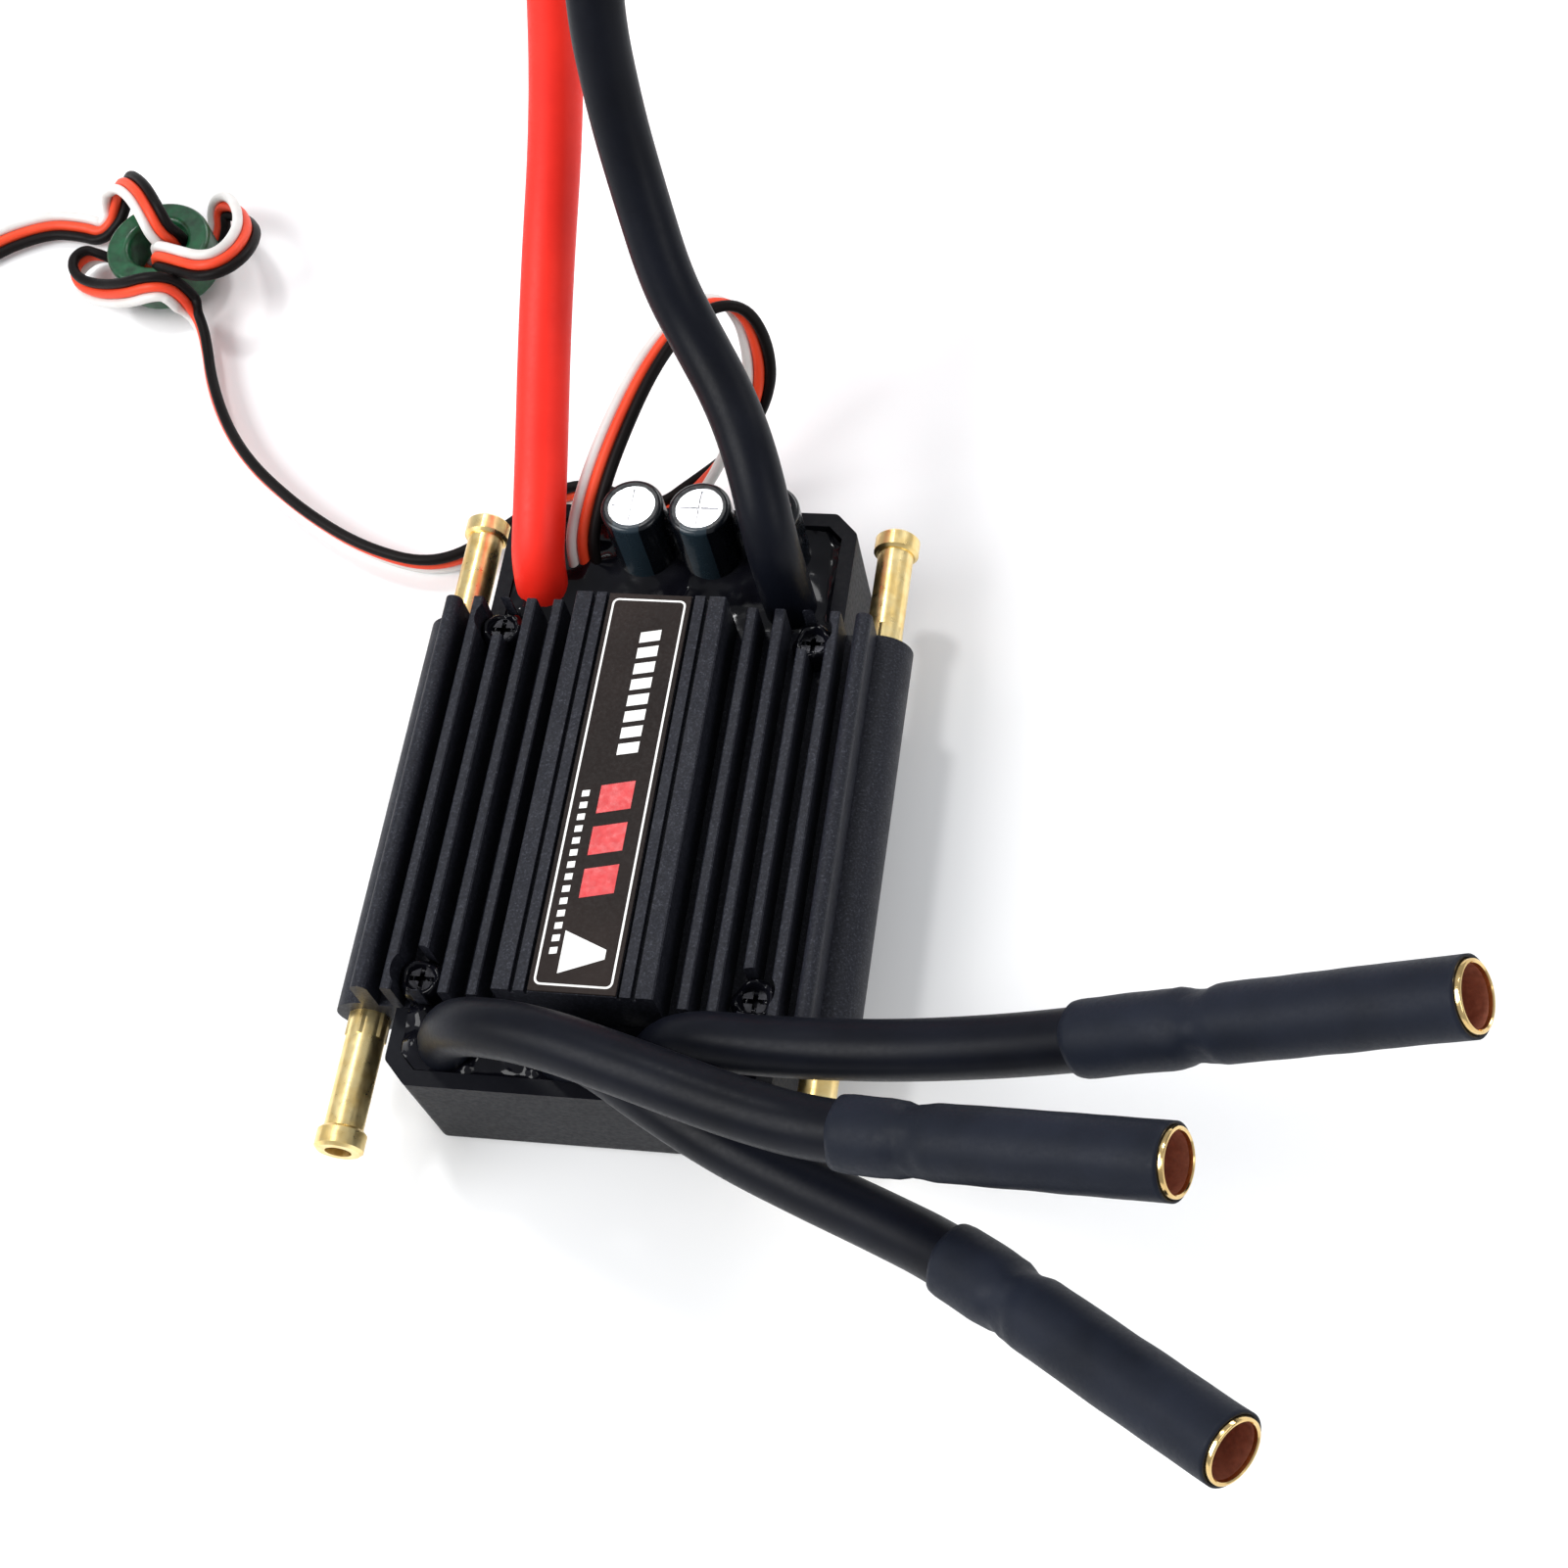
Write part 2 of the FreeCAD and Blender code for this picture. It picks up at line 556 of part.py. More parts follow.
def plug_frame():
    """The plug's rear face centre, at the end of the signal lead's tail."""
    end, direction = last_direction(SIGNAL_TAIL_ROUTE)
    angle = math.degrees(math.atan2(direction.y, direction.x))
    return Vector(end.x, end.y, 0), angle


def placed_on_plug(shape):
    place, angle = plug_frame()
    shape.rotate(Vector(0, 0, 0), Vector(0, 0, 1), angle)
    shape.translate(place)
    return shape


def plug_housing():
    body = box(0, PLUG_LENGTH, -PLUG_HALF_WIDTH, PLUG_HALF_WIDTH, 0, PLUG_HEIGHT)
    posts = [edge for edge in body.Edges if edge.BoundBox.ZLength > PLUG_HEIGHT / 2]
    body = body.makeFillet(0.4, posts)
    cavities = [box(2, PLUG_LENGTH + 1, row * PLUG_PITCH - 0.8, row * PLUG_PITCH + 0.8, 0.5, 2.1)
                for row in (-1, 0, 1)]
    windows = [box(4, 6.2, row * PLUG_PITCH - 0.5, row * PLUG_PITCH + 0.5, 2.0, 3)
               for row in (-1, 0, 1)]
    return placed_on_plug(body.cut(cavities + windows))


def plug_contacts():
    contacts = []
    for row in (-1, 0, 1):
        y = row * PLUG_PITCH
        shell = box(2.2, PLUG_LENGTH - 1.2, y - 0.7, y + 0.7, 0.6, 2.0)
        slot = box(4.0, PLUG_LENGTH, y - 0.42, y + 0.42, 0.88, 1.72)
        contacts.append(placed_on_plug(shell.cut(slot)))
    return contacts


def potting_compound(tubes):
    """The black compound that fills the case round the boards, up to the leads' exits."""
    inside = case_outline(CASE_WALL)
    reach = SINK_LENGTH / 2
    fill = prism(inside, CASE_FLOOR, POTTING_TOP)
    fill = fill.cut(box(-20, 20, -reach, reach, PLATE_BOTTOM, POTTING_TOP + 1))
    inner = [boss(place) for place in screw_places()]
    inner += header_pins() + header_strips() + power_transistors() + gate_drivers()
    inner += bec_regulators() + ceramic_capacitors() + capacitor_leads() + board_ends()
    inner += [power_board(), control_board(), thermal_pad(), microcontroller(), bec_inductor()]
    inner += [cylinder(CAPACITOR_RADIUS, 12, Vector(x, CAPACITOR_Y, capacitor_base()))
              for x in CAPACITOR_XS]
    fill = fill.cut(inner + tubes)
    return max(fill.Solids, key=lambda solid: solid.Volume)


# ---- all nodes --------------------------------------------------------------------------------
def nodes():
    made = {"base_case": base_case(), "heatsink": heatsink(), "label_plate": label_plate()}
    made["heatsink_screws"] = [screw(place) for place in screw_places()]
    for side, across in (("left", -1), ("right", 1)):
        for end, along in (("front", -1), ("rear", 1)):
            made["water_nipple_%s_%s" % (end, side)] = nipple(across, along)
    made["power_board"] = power_board()
    made["control_board"] = control_board()
    made["board_header_strips"] = header_strips()
    made["board_header_pins"] = header_pins()
    made["power_transistors"] = power_transistors()
    made["thermal_pad"] = thermal_pad()
    made["gate_drivers"] = gate_drivers()
    made["microcontroller"] = microcontroller()
    made["bec_regulators"] = bec_regulators()
    made["bec_inductor"] = bec_inductor()
    made["ceramic_capacitors"] = ceramic_capacitors()
    for index, x in enumerate(CAPACITOR_XS, 1):
        made["capacitor_can_%d" % index] = capacitor_can(x)
        made["capacitor_sleeve_%d" % index] = capacitor_sleeve(x)
    made["capacitor_bungs"] = capacitor_bungs()
    made["capacitor_leads"] = capacitor_leads()
    made["board_lead_ends"] = board_ends()
    made["socket_lead_ends"] = cup_ends()
    tubes = []
    for letter, route in MOTOR_ROUTES.items():
        tube = lead_tube("motor_lead_" + letter, route, LEAD_DIAMETER)
        made["motor_lead_" + letter] = tube
        made["motor_socket_" + letter] = motor_socket(route)
        made["heat_shrink_" + letter] = heat_shrink(route)
        tubes.append(tube)
    for pole, route in BATTERY_ROUTES.items():
        tube = lead_tube("battery_lead_" + pole, route, LEAD_DIAMETER)
        made["battery_lead_" + pole] = tube
        made["battery_tip_" + pole] = battery_tip(route)
        tubes.append(tube)
    signal = lead_tube("signal_lead", SIGNAL_ROUTE, SIGNAL_WIDTH)
    tubes.append(signal)
    made["signal_lead"] = signal
    made["signal_lead_winding"] = signal_winding()
    made["signal_lead_tail"] = lead_tube("signal_lead_tail", SIGNAL_TAIL_ROUTE, SIGNAL_WIDTH)
    made["ferrite_core"] = ferrite_core()
    made["signal_plug_housing"] = plug_housing()
    made["signal_plug_contacts"] = plug_contacts()
    made["potting_compound"] = potting_compound(tubes)
    return made


def main():
    os.makedirs("parts", exist_ok=True)
    for name, shape in nodes().items():
        if isinstance(shape, list):
            shape = Part.makeCompound(shape)
        count = len(shape.Solids)
        print("%-26s solids %2d valid %s volume %.1f" % (name, count, shape.isValid(), shape.Volume))
        shape.exportStep("parts/%s.step" % name)


main()
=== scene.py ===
"""Looks of a water-cooled brushless speed controller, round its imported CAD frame, in metres."""
import bpy
import math
from mathutils import Matrix, Vector, noise


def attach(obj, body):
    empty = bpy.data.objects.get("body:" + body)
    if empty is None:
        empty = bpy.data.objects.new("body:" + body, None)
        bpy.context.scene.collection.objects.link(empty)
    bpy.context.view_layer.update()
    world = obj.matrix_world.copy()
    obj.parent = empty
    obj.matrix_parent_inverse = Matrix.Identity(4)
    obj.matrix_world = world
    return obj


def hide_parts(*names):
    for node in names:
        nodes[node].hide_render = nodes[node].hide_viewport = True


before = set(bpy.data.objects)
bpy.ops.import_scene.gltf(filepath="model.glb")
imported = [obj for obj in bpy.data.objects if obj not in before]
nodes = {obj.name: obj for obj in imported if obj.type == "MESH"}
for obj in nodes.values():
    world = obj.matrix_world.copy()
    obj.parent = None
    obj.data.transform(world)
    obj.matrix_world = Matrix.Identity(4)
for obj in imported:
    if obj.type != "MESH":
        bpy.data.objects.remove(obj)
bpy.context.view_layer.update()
MM = 0.001

# ---- the leads' routes, in millimetres ----------------------------------------------------------
MOTOR_ROUTES = {
    "a": [(5.4, -20.9, 9.4), (6.4, -20.8, 13.4), (10.0, -21.0, 17.2), (15.9, -21.9, 19.0),
          (24.9, -22.4, 21.0), (33.8, -23.0, 25.0), (41.0, -23.5, 29.3), (47.6, -24.0, 33.6)],
    "b": [(-11.6, -20.8, 9.6), (-10.2, -20.7, 14.2), (-6.8, -21.8, 18.9), (-0.6, -23.3, 21.7),
          (7.7, -26.0, 23.3), (15.4, -28.4, 23.7), (22.5, -30.1, 24.6), (28.8, -31.1, 27.4)],
    "c": [(-1.8, -20.9, 9.0), (-0.9, -20.9, 12.8), (2.4, -22.3, 15.3), (7.8, -25.6, 15.6),
          (14.0, -28.8, 15.6), (20.3, -31.6, 16.8), (26.1, -34.2, 18.6), (31.6, -36.9, 20.7),
          (36.4, -40.2, 23.3)],
}
BATTERY_ROUTES = {
    "positive": [(-11.6, 21.4, 9.4), (-11.5, 22.0, 13.6), (-11.1, 25.4, 17.0), (-11.4, 31.2, 19.5),
                 (-11.8, 38.9, 23.0), (-11.4, 45.4, 28.0), (-10.4, 50.8, 34.0), (-9.4, 55.4, 41.0),
                 (-8.6, 60.5, 50.0), (-8.2, 69.6, 57.6), (-8.2, 82.2, 60.6), (-8.6, 95.0, 57.4),
                 (-9.2, 105.4, 48.6), (-9.8, 112.0, 36.0), (-10.4, 116.6, 20.8),
                 (-11.0, 126.0, 9.2), (-12.0, 139.2, 2.9), (-13.8, 151.4, 2.3)],
    "negative": [(10.6, 20.75, 9.4), (10.5, 20.75, 14.4), (10.2, 21.3, 20.6), (8.6, 26.4, 24.6),
                 (6.2, 31.4, 26.2), (3.2, 35.6, 28.6), (0.8, 38.8, 31.8), (-1.0, 43.0, 37.0),
                 (-2.4, 46.6, 43.0), (-3.0, 50.0, 51.0), (-2.4, 56.5, 59.5), (-1.0, 66.5, 65.0),
                 (1.2, 79.0, 65.4), (3.2, 91.4, 61.0), (4.8, 101.2, 52.0), (5.8, 108.0, 39.6),
                 (6.4, 113.4, 23.0), (7.2, 123.6, 10.6), (8.6, 136.8, 3.6), (10.8, 149.2, 2.3)],
}
# The flat signal lead: each point, and the direction there from its white core to its black one.
SIGNAL_ROUTE = [
    ((-7.9, 23.6, 9.4), (1, 0, 0)), ((-8.3, 24.3, 12.6), (1, 0, 0)),
    ((-7.7, 27.0, 15.4), (0.95, -0.2, 0)), ((-5.8, 32.4, 18.6), (0.85, -0.5, 0)),
    ((-2.9, 39.4, 21.2), (0.75, -0.6, 0.2)), ((0.7, 45, 21.8), (0.3, -0.9, 0.3)),
    ((4.2, 45.6, 20.2), (0.7, -0.3, 0.6)), ((5.3, 43.3, 14.8), (0.95, 0.2, 0.2)),
    ((3.4, 40.9, 9.6), (0.7, 0.6, -0.3)), ((-0.1, 38.1, 5.8), (0.3, 0.8, 0.1)),
    ((-5.6, 34.2, 2.6), (0, 0.7, 0.7)), ((-13.5, 39, 2.6), (0.05, 0.2, 0.98)),
    ((-19.8, 33.0, 2.0), (0.1, 0, 0.99)), ((-25.4, 29.2, 1.6), (0, -0.2, 0.97)),
    ((-33.0, 31.0, 1.6), (0, -0.25, 0.96)), ((-40.4, 35.2, 1.6), (0.05, -0.25, 0.96)),
    ((-47.6, 40.8, 1.6), (0.2, -0.15, 0.96)), ((-52.6, 47.8, 1.6), (0.35, 0, 0.94)),
    ((-55.6, 55.6, 1.7), (0.35, 0.1, 0.94)),
]
# The turns round the ferrite core, from its centre on the floor.
WINDING = [
    ((4.6, -6.4, 2.6), (0.05, 0.35, 0.93)), ((3.7, -6.1, 5), (0.05, 0.45, 0.9)),
    ((2.9, -6.3, 6.2), (0.05, 0.5, 0.86)), ((1.2, -6.6, 6.4), (0, 0.5, 0.86)),
    ((-1.6, -6.5, 5.2), (0, 0.45, 0.9)), ((-5.7, -5, 3.2), (0, 0.4, 0.9)),
    ((-8.6, -3.5, 2.7), (0.15, 0.2, 0.97)), ((-9.9, -1, 2.4), (0.15, 0, 1)),
    ((-9, 0.8, 2.2), (0, -0.2, 1)), ((-6.9, 1, 1.7), (0, -0.6, 0.8)),
    ((-4.4, 0.8, 0.6), (0.1, -0.97, 0.2)), ((-2.2, 0, 0.58), (0.1, -0.99, 0)),
    ((-0.9, -0.9, 1.6), (0.1, -0.99, 0)), ((-0.3, -1.3, 3.8), (0.2, -0.95, -0.1)),
    ((0.8, -2.2, 6), (0.15, -0.86, -0.48)), ((4.5, -4.2, 7.4), (0.15, -0.86, -0.48)),
    ((7.1, -5.4, 8.2), (0.25, -0.84, -0.48)), ((9.3, -5, 8.4), (0.55, -0.7, -0.46)),
    ((10.4, -2.5, 7.8), (0.73, -0.55, -0.41)), ((9.7, 1.6, 6.2), (0.78, -0.49, -0.39)),
    ((6.5, 5.9, 4), (0.64, -0.63, -0.44)), ((3.3, 7.4, 2.4), (0.54, -0.7, -0.46)),
    ((3.6, 5, 0.7), (0.6, -0.8, 0)), ((2.4, 2.2, 0.58), (0.8, -0.55, 0)),
    ((1.5, 0.6, 1.6), (0.95, 0, 0)), ((1.5, 0.5, 3.6), (0.85, 0.5, 0)),
    ((1.9, -0.2, 5.8), (0.71, 0.67, 0.23)), ((1.4, -0.6, 7.5), (0.74, 0.64, 0.21)),
    ((0.4, 0.9, 8.9), (0.74, 0.64, 0.21)), ((-1.6, 3.5, 8.8), (0.74, 0.64, 0.21)),
    ((-4.4, 6.1, 7.4), (0.71, 0.67, 0.23)), ((-6, 6.8, 5.6), (0.72, 0.62, 0.1)),
    ((-7, 6.4, 3.6), (0.95, 0.1, 0)), ((-7.9, 5.6, 1.8), (0.7, -0.7, 0)),
    ((-9.2, 4.6, 1.1), (0.3, -0.9, -0.1)),
]
SIGNAL_TAIL = [
    ((-72.6, 69.4, 1.2), (0.1, -0.9, -0.4)), ((-77.0, 69.6, 1.2), (-0.1, -0.9, -0.4)),
    ((-83.2, 66.0, 1.2), (-0.5, -0.8, -0.3)), ((-87.6, 58.8, 1.2), (-0.9, -0.4, -0.2)),
    ((-88.2, 51.2, 1.3), (-0.98, 0, -0.1)), ((-87.0, 45.4, 1.3), (-0.98, -0.2, 0)),
]
FERRITE_CENTRE = Vector((-61.6, 64.2, 0))

# ---- sizes, in millimetres ----------------------------------------------------------------------
LEAD_DIAMETER = 4.5
# The ribbon's three cores: their spacing, their radius, and the least gap under them.
CORE_PITCH = 1.0
CORE_RADIUS = 0.51
CORE_CLEARANCE = 0.02
# How many points of the ribbon's line a lift off the floor is spread over, each way.
LIFT_REACH = 12
# The outlines of the socket and its solder cup: distance along the axis, and radius. The socket's
# bore starts at one of its outline's points.
SOCKET_LENGTH = 20.5
SOCKET_OUTLINE = [
    (0, 1.70), (0, 2.20), (0.15, 2.35), (5.2, 2.35), (5.35, 2.22), (5.9, 2.22), (6.05, 2.35),
    (SOCKET_LENGTH - 0.22, 2.35), (SOCKET_LENGTH - 0.06, 2.30), (SOCKET_LENGTH, 2.20),
    (SOCKET_LENGTH, 2.12), (SOCKET_LENGTH - 0.08, 2.04), (SOCKET_LENGTH - 0.35, 2.0),
    (7.5, 2.0), (7.5, 0.6), (7.2, 0.01),
]
SOCKET_BORE_FROM = 12
SOLDER_CUP = [(0, 1.70), (4.4, 1.70), (4.5, 0.2)]
# How far each heat-shrink sleeve reaches back over its lead, and what sets its wrinkles apart.
SHRINK_COVER = {"a": 9.4, "b": 5.6, "c": 6.2}
SHRINK_SEED = {"a": 3.1, "b": 11.7, "c": 23.9}
# The sleeve stops short of the socket's lip, and never goes inside the socket's radius.
SHRINK_END = SOCKET_LENGTH - 0.35
SHRINK_LEAST_RADIUS = 2.385
# The sleeve's folds are at its neck, and its ragged edge is at its start.
FOLD_AT = 0.4
FOLD_REACH = 1.5
RAGGED_LENGTH = 0.6
# Each set of folds: its depth, how many go round the sleeve, and how they lean along it.
FOLDS = [(0.10, 3, 1.3), (0.05, 5, -2.1)]
SHRINK_LUMPS = 0.05
# The tinned end of a battery lead; its last part is rounded off.
TIP_LENGTH = 5.0
TIP_RADIUS = 1.40
TIP_ROUND_FROM = 4.6
TIP_ROUND_LENGTH = 0.45
STRAND_RELIEF = 0.055
STRAND_WAVES = 7
STRAND_TWIST = 0.16
# The pools of compound in the two ends of the case.
POOL_HALF_WIDTH = 14.05
POOL_CORNER = 1.24
POOL_BOTTOM = 9.9
WALL_CLIMB = 0.45
WALL_CLIMB_REACH = 0.5
# Each layer of a pool's unevenness: its height, its waves per mm, and what sets it apart.
POOL_ROUGHNESS = [(0.16, 0.35, 3.0), (0.05, 1.1, 8.0)]
# The compound round each screw head, from the pocket's wall to the head.
SCREW_PLACES = [(-13.4, -16.1), (13.4, -16.1), (13.4, 16.1), (-13.4, 16.1)]
SEALANT_OUTER_RADIUS = 1.87
SEALANT_INNER_RADIUS = 0.57
SEALANT_FLOOR = 11.85
SEALANT_HEIGHT = 13.0
SEALANT_SWELL = 0.75
SEALANT_LUMPS = 0.7
# From this part of the way in, the compound lies over the screw's head.
SEALANT_HEAD_FROM = 0.85
SEALANT_HEAD_HEIGHT = 13.32
# Where the painted highlights on the capacitors' sleeves are: a slate band of colour down the front
# of each, in place of a reflection.
CAPACITOR_PLACES_X = (-2.9, 2.95, 8.8)
CAPACITOR_ROW_Y = 26.0
HIGHLIGHT_BAND_SHIFT = -0.15
HIGHLIGHT_BAND_HALF_WIDTH = 1.15
# The print lies from just inside the label's face to just above it.
PRINT_LOW = 16.99
BORDER_HIGH = 17.02
MARK_HIGH = 17.015
# The label's border line: half its width, half its length, and the radius of its corners.
BORDER_OUTER = (3.13, 17.42, 0.55)
BORDER_INNER = (2.96, 17.25, 0.40)


# ---- camera and lamps ---------------------------------------------------------------------------
def make_camera():
    """The photograph's camera, as solved from the straight edges of the label and the case."""
    camera = bpy.data.cameras.new("camera")
    holder = bpy.data.objects.new("camera", camera)
    bpy.context.scene.collection.objects.link(holder)
    right = Vector((0.98725, 0.11736, -0.10753))
    down = Vector((0.0535, -0.88091, -0.47026))
    ahead = right.cross(down).normalized()
    down = ahead.cross(right)
    turn = Matrix((right, -down, -ahead)).transposed().to_4x4()
    place = Vector((52.342, -83.177, 178.613)) * MM
    holder.matrix_world = Matrix.Translation(place) @ turn
    camera.sensor_width = 36
    camera.lens = 54.24
    camera.shift_x = -0.0879
    camera.shift_y = 0.0012
    camera.clip_start = 0.01
    camera.clip_end = 20
    bpy.context.scene.camera = holder


def area_light(name, place, target, size, power):
    """A white rectangular lamp that faces its target."""
    lamp = bpy.data.lights.new(name, "AREA")
    lamp.shape = "RECTANGLE"
    lamp.size, lamp.size_y = size
    lamp.energy = power
    holder = bpy.data.objects.new(name, lamp)
    bpy.context.scene.collection.objects.link(holder)
    holder.location = place
    holder.rotation_euler = (Vector(target) - Vector(place)).to_track_quat("-Z", "Y").to_euler()


# ---- shaders ------------------------------------------------------------------------------------
class Shader:
    """A material with one Principled shader, and short ways to add patterns to it.

    Patterns are sized by the object's own coordinates, in metres, and bumps are in millimetres.
    """

    def __init__(self, name, **values):
        self.material = bpy.data.materials.new(name)
        self.material.use_nodes = True
        self.tree = self.material.node_tree
        self.bsdf = self.tree.nodes["Principled BSDF"]
        self.coords = None
        self.normal = None
        for key, value in values.items():
            socket = self.bsdf.inputs[key.replace("_", " ")]
            socket.default_value = (*value, 1) if isinstance(value, tuple) else value
        colour = values.get("Base_Color")
        if colour:
            self.material.diffuse_color = (*colour, 1)

    def node(self, kind, **values):
        node = self.tree.nodes.new(kind)
        for key, value in values.items():
            if key.startswith("in_"):
                node.inputs[key[3:].replace("_", " ")].default_value = value
            else:
                setattr(node, key, value)
        return node

    def link(self, a, b):
        self.tree.links.new(a, b)

    def place(self, stretch=(1, 1, 1)):
        if self.coords is None:
            self.coords = self.node("ShaderNodeTexCoord").outputs["Object"]
        if stretch == (1, 1, 1):
            return self.coords
        mapping = self.node("ShaderNodeMapping")
        mapping.inputs["Scale"].default_value = stretch
        self.link(self.coords, mapping.inputs["Vector"])
        return mapping.outputs["Vector"]

    def noise(self, scale, detail=4, roughness=0.5, stretch=(1, 1, 1), distortion=0.0):
        node = self.node("ShaderNodeTexNoise", in_Scale=scale, in_Detail=detail,
                         in_Roughness=roughness, in_Distortion=distortion)
        self.link(self.place(stretch), node.inputs["Vector"])
        return node.outputs["Fac"]

    def cells(self, scale):
        node = self.node("ShaderNodeTexVoronoi", in_Scale=scale)
        self.link(self.place(), node.inputs["Vector"])
        return node.outputs["Distance"]

    def math(self, operation, *values):
        """A Math node, each of whose values is a number or another node's output."""
        node = self.node("ShaderNodeMath", operation=operation)
        for target, value in zip(node.inputs, values):
            if isinstance(value, (int, float)):
                target.default_value = value
            else:
                self.link(value, target)
        return node.outputs[0]

    def ramp(self, value, stops):
        node = self.node("ShaderNodeValToRGB")
        ends = node.color_ramp.elements
        while len(ends) < len(stops):
            ends.new(0.5)
        for end, (position, colour) in zip(ends, stops):
            end.position = position
            end.color = (*colour, 1) if isinstance(colour, tuple) else (colour, colour, colour, 1)
        self.link(value, node.inputs["Fac"])
        return node.outputs["Color"]

    def colour(self, value, stops):
        self.link(self.ramp(value, stops), self.bsdf.inputs["Base Color"])

    def tones(self, value, dark, light, start=0.3, end=0.7):
        self.colour(value, [(start, dark), (end, light)])

    def rough(self, value, low, high, start=0.3, end=0.7):
        self.link(self.ramp(value, [(start, low), (end, high)]), self.bsdf.inputs["Roughness"])

    def bump(self, value, distance, strength=1.0):
        node = self.node("ShaderNodeBump", in_Distance=distance * MM, in_Strength=strength)
        self.link(value, node.inputs["Height"])
        if self.normal is not None:
            self.link(self.normal, node.inputs["Normal"])
        self.normal = node.outputs["Normal"]
        self.link(self.normal, self.bsdf.inputs["Normal"])


def grained(name, dark, light, scale, rough, bump, metal=0.0):
    """A surface of two close tones with a grain of its own size."""
    s = Shader(name, Base_Color=light, Metallic=metal)
    fine = s.noise(scale, detail=6, roughness=0.6)
    s.tones(fine, dark, light)
    s.rough(s.noise(scale * 0.12, detail=3), *rough)
    s.bump(fine, bump)
    return s.material


def anodised():
    """Black anodised aluminium, drawn along the fins, with dark grain whose palest specks are
    painted glints.
    """
    s = Shader("anodised", Base_Color=(0.018, 0.019, 0.026), Specular_IOR_Level=0.20)
    grain = s.noise(5200, detail=5, roughness=0.7)
    # The palest stop paints glints into the grain's colour, for the sparkle of the metal; the
    # darker stops are the grain's own tone.
    s.colour(grain, [(0.34, (0.0045, 0.005, 0.008)), (0.56, (0.014, 0.015, 0.022)),
                     (0.72, (0.060, 0.063, 0.078))])
    s.rough(s.noise(420, detail=3), 0.44, 0.56)
    drawn = s.noise(900, detail=3, stretch=(1, 0.02, 1))
    s.bump(drawn, 0.02, 0.5)
    s.bump(grain, 0.03, 0.7)
    return s.material


def moulded():
    s = Shader("moulded_case", Base_Color=(0.012, 0.012, 0.016), Specular_IOR_Level=0.08)
    fine = s.noise(2600, detail=5, roughness=0.6)
    s.tones(s.noise(160, detail=3), (0.0038, 0.004, 0.006), (0.0075, 0.008, 0.011))
    s.rough(fine, 0.36, 0.50)
    s.bump(fine, 0.02, 0.6)
    return s.material


def potting():
    s = Shader("potting_gloss", Base_Color=(0.003, 0.003, 0.005), Specular_IOR_Level=0.20)
    s.tones(s.noise(300, detail=3), (0.002, 0.002, 0.0035), (0.005, 0.005, 0.008), 0.35, 0.65)
    s.rough(s.noise(240, detail=4), 0.05, 0.17)
    s.bump(s.noise(300, detail=1), 0.10, 0.40)
    return s.material


def turned(name, dark, light, rough):
    """Turned brass, with fine lines round its axis."""
    s = Shader(name, Base_Color=light, Metallic=1.0)
    s.tones(s.noise(700, detail=4), dark, light, 0.35, 0.62)
    s.rough(s.noise(1500, detail=3), *rough)
    s.bump(s.noise(5200, detail=2, stretch=(0.05, 1, 0.05)), 0.012, 0.5)
    return s.material


def label_film():
    s = Shader("label_film", Base_Color=(0.016, 0.010, 0.008), Specular_IOR_Level=0.12)
    s.tones(s.noise(90, detail=3), (0.011, 0.007, 0.006), (0.021, 0.014, 0.012), 0.35, 0.68)
    fine = s.noise(4200, detail=3)
    s.rough(fine, 0.40, 0.52)
    s.bump(fine, 0.006, 0.5)
    return s.material


def ink(name, colour, shade):
    s = Shader(name, Base_Color=colour)
    s.tones(s.noise(1400, detail=4), shade, colour, 0.38, 0.60)
    s.rough(s.noise(2500, detail=2), 0.34, 0.46)
    return s.material


def silicone(name, dark, light, rough, **more):
    """Wire insulation with a film of dust."""
    s = Shader(name, Base_Color=light, **more)
    s.tones(s.noise(120, detail=4, roughness=0.6), dark, light)
    dust = s.noise(2400, detail=6, roughness=0.7)
    s.rough(dust, *rough, 0.35, 0.7)
    s.bump(s.noise(700, detail=3), 0.02, 0.4)
    s.bump(dust, 0.008, 0.4)
    return s.material


def shrink_film():
    s = Shader("shrink_film", Base_Color=(0.010, 0.011, 0.018), Specular_IOR_Level=0.15)
    s.tones(s.noise(180, detail=4), (0.0050, 0.0070, 0.0130), (0.0100, 0.0130, 0.0230))
    fine = s.noise(3000, detail=6, roughness=0.7)
    s.rough(fine, 0.46, 0.62)
    s.bump(s.noise(650, detail=3), 0.03, 0.4)
    s.bump(fine, 0.012, 0.5)
    return s.material


def can_metal():
    """Bare drawn aluminium."""
    s = Shader("can_metal", Base_Color=(0.86, 0.86, 0.87), Metallic=1.0)
    s.tones(s.noise(260, detail=3), (0.52, 0.52, 0.54), (0.80, 0.80, 0.82), 0.35, 0.65)
    drawn = s.noise(2600, detail=3, stretch=(1, 0.15, 1))
    s.rough(drawn, 0.16, 0.32)
    s.bump(drawn, 0.006, 0.5)
    return s.material


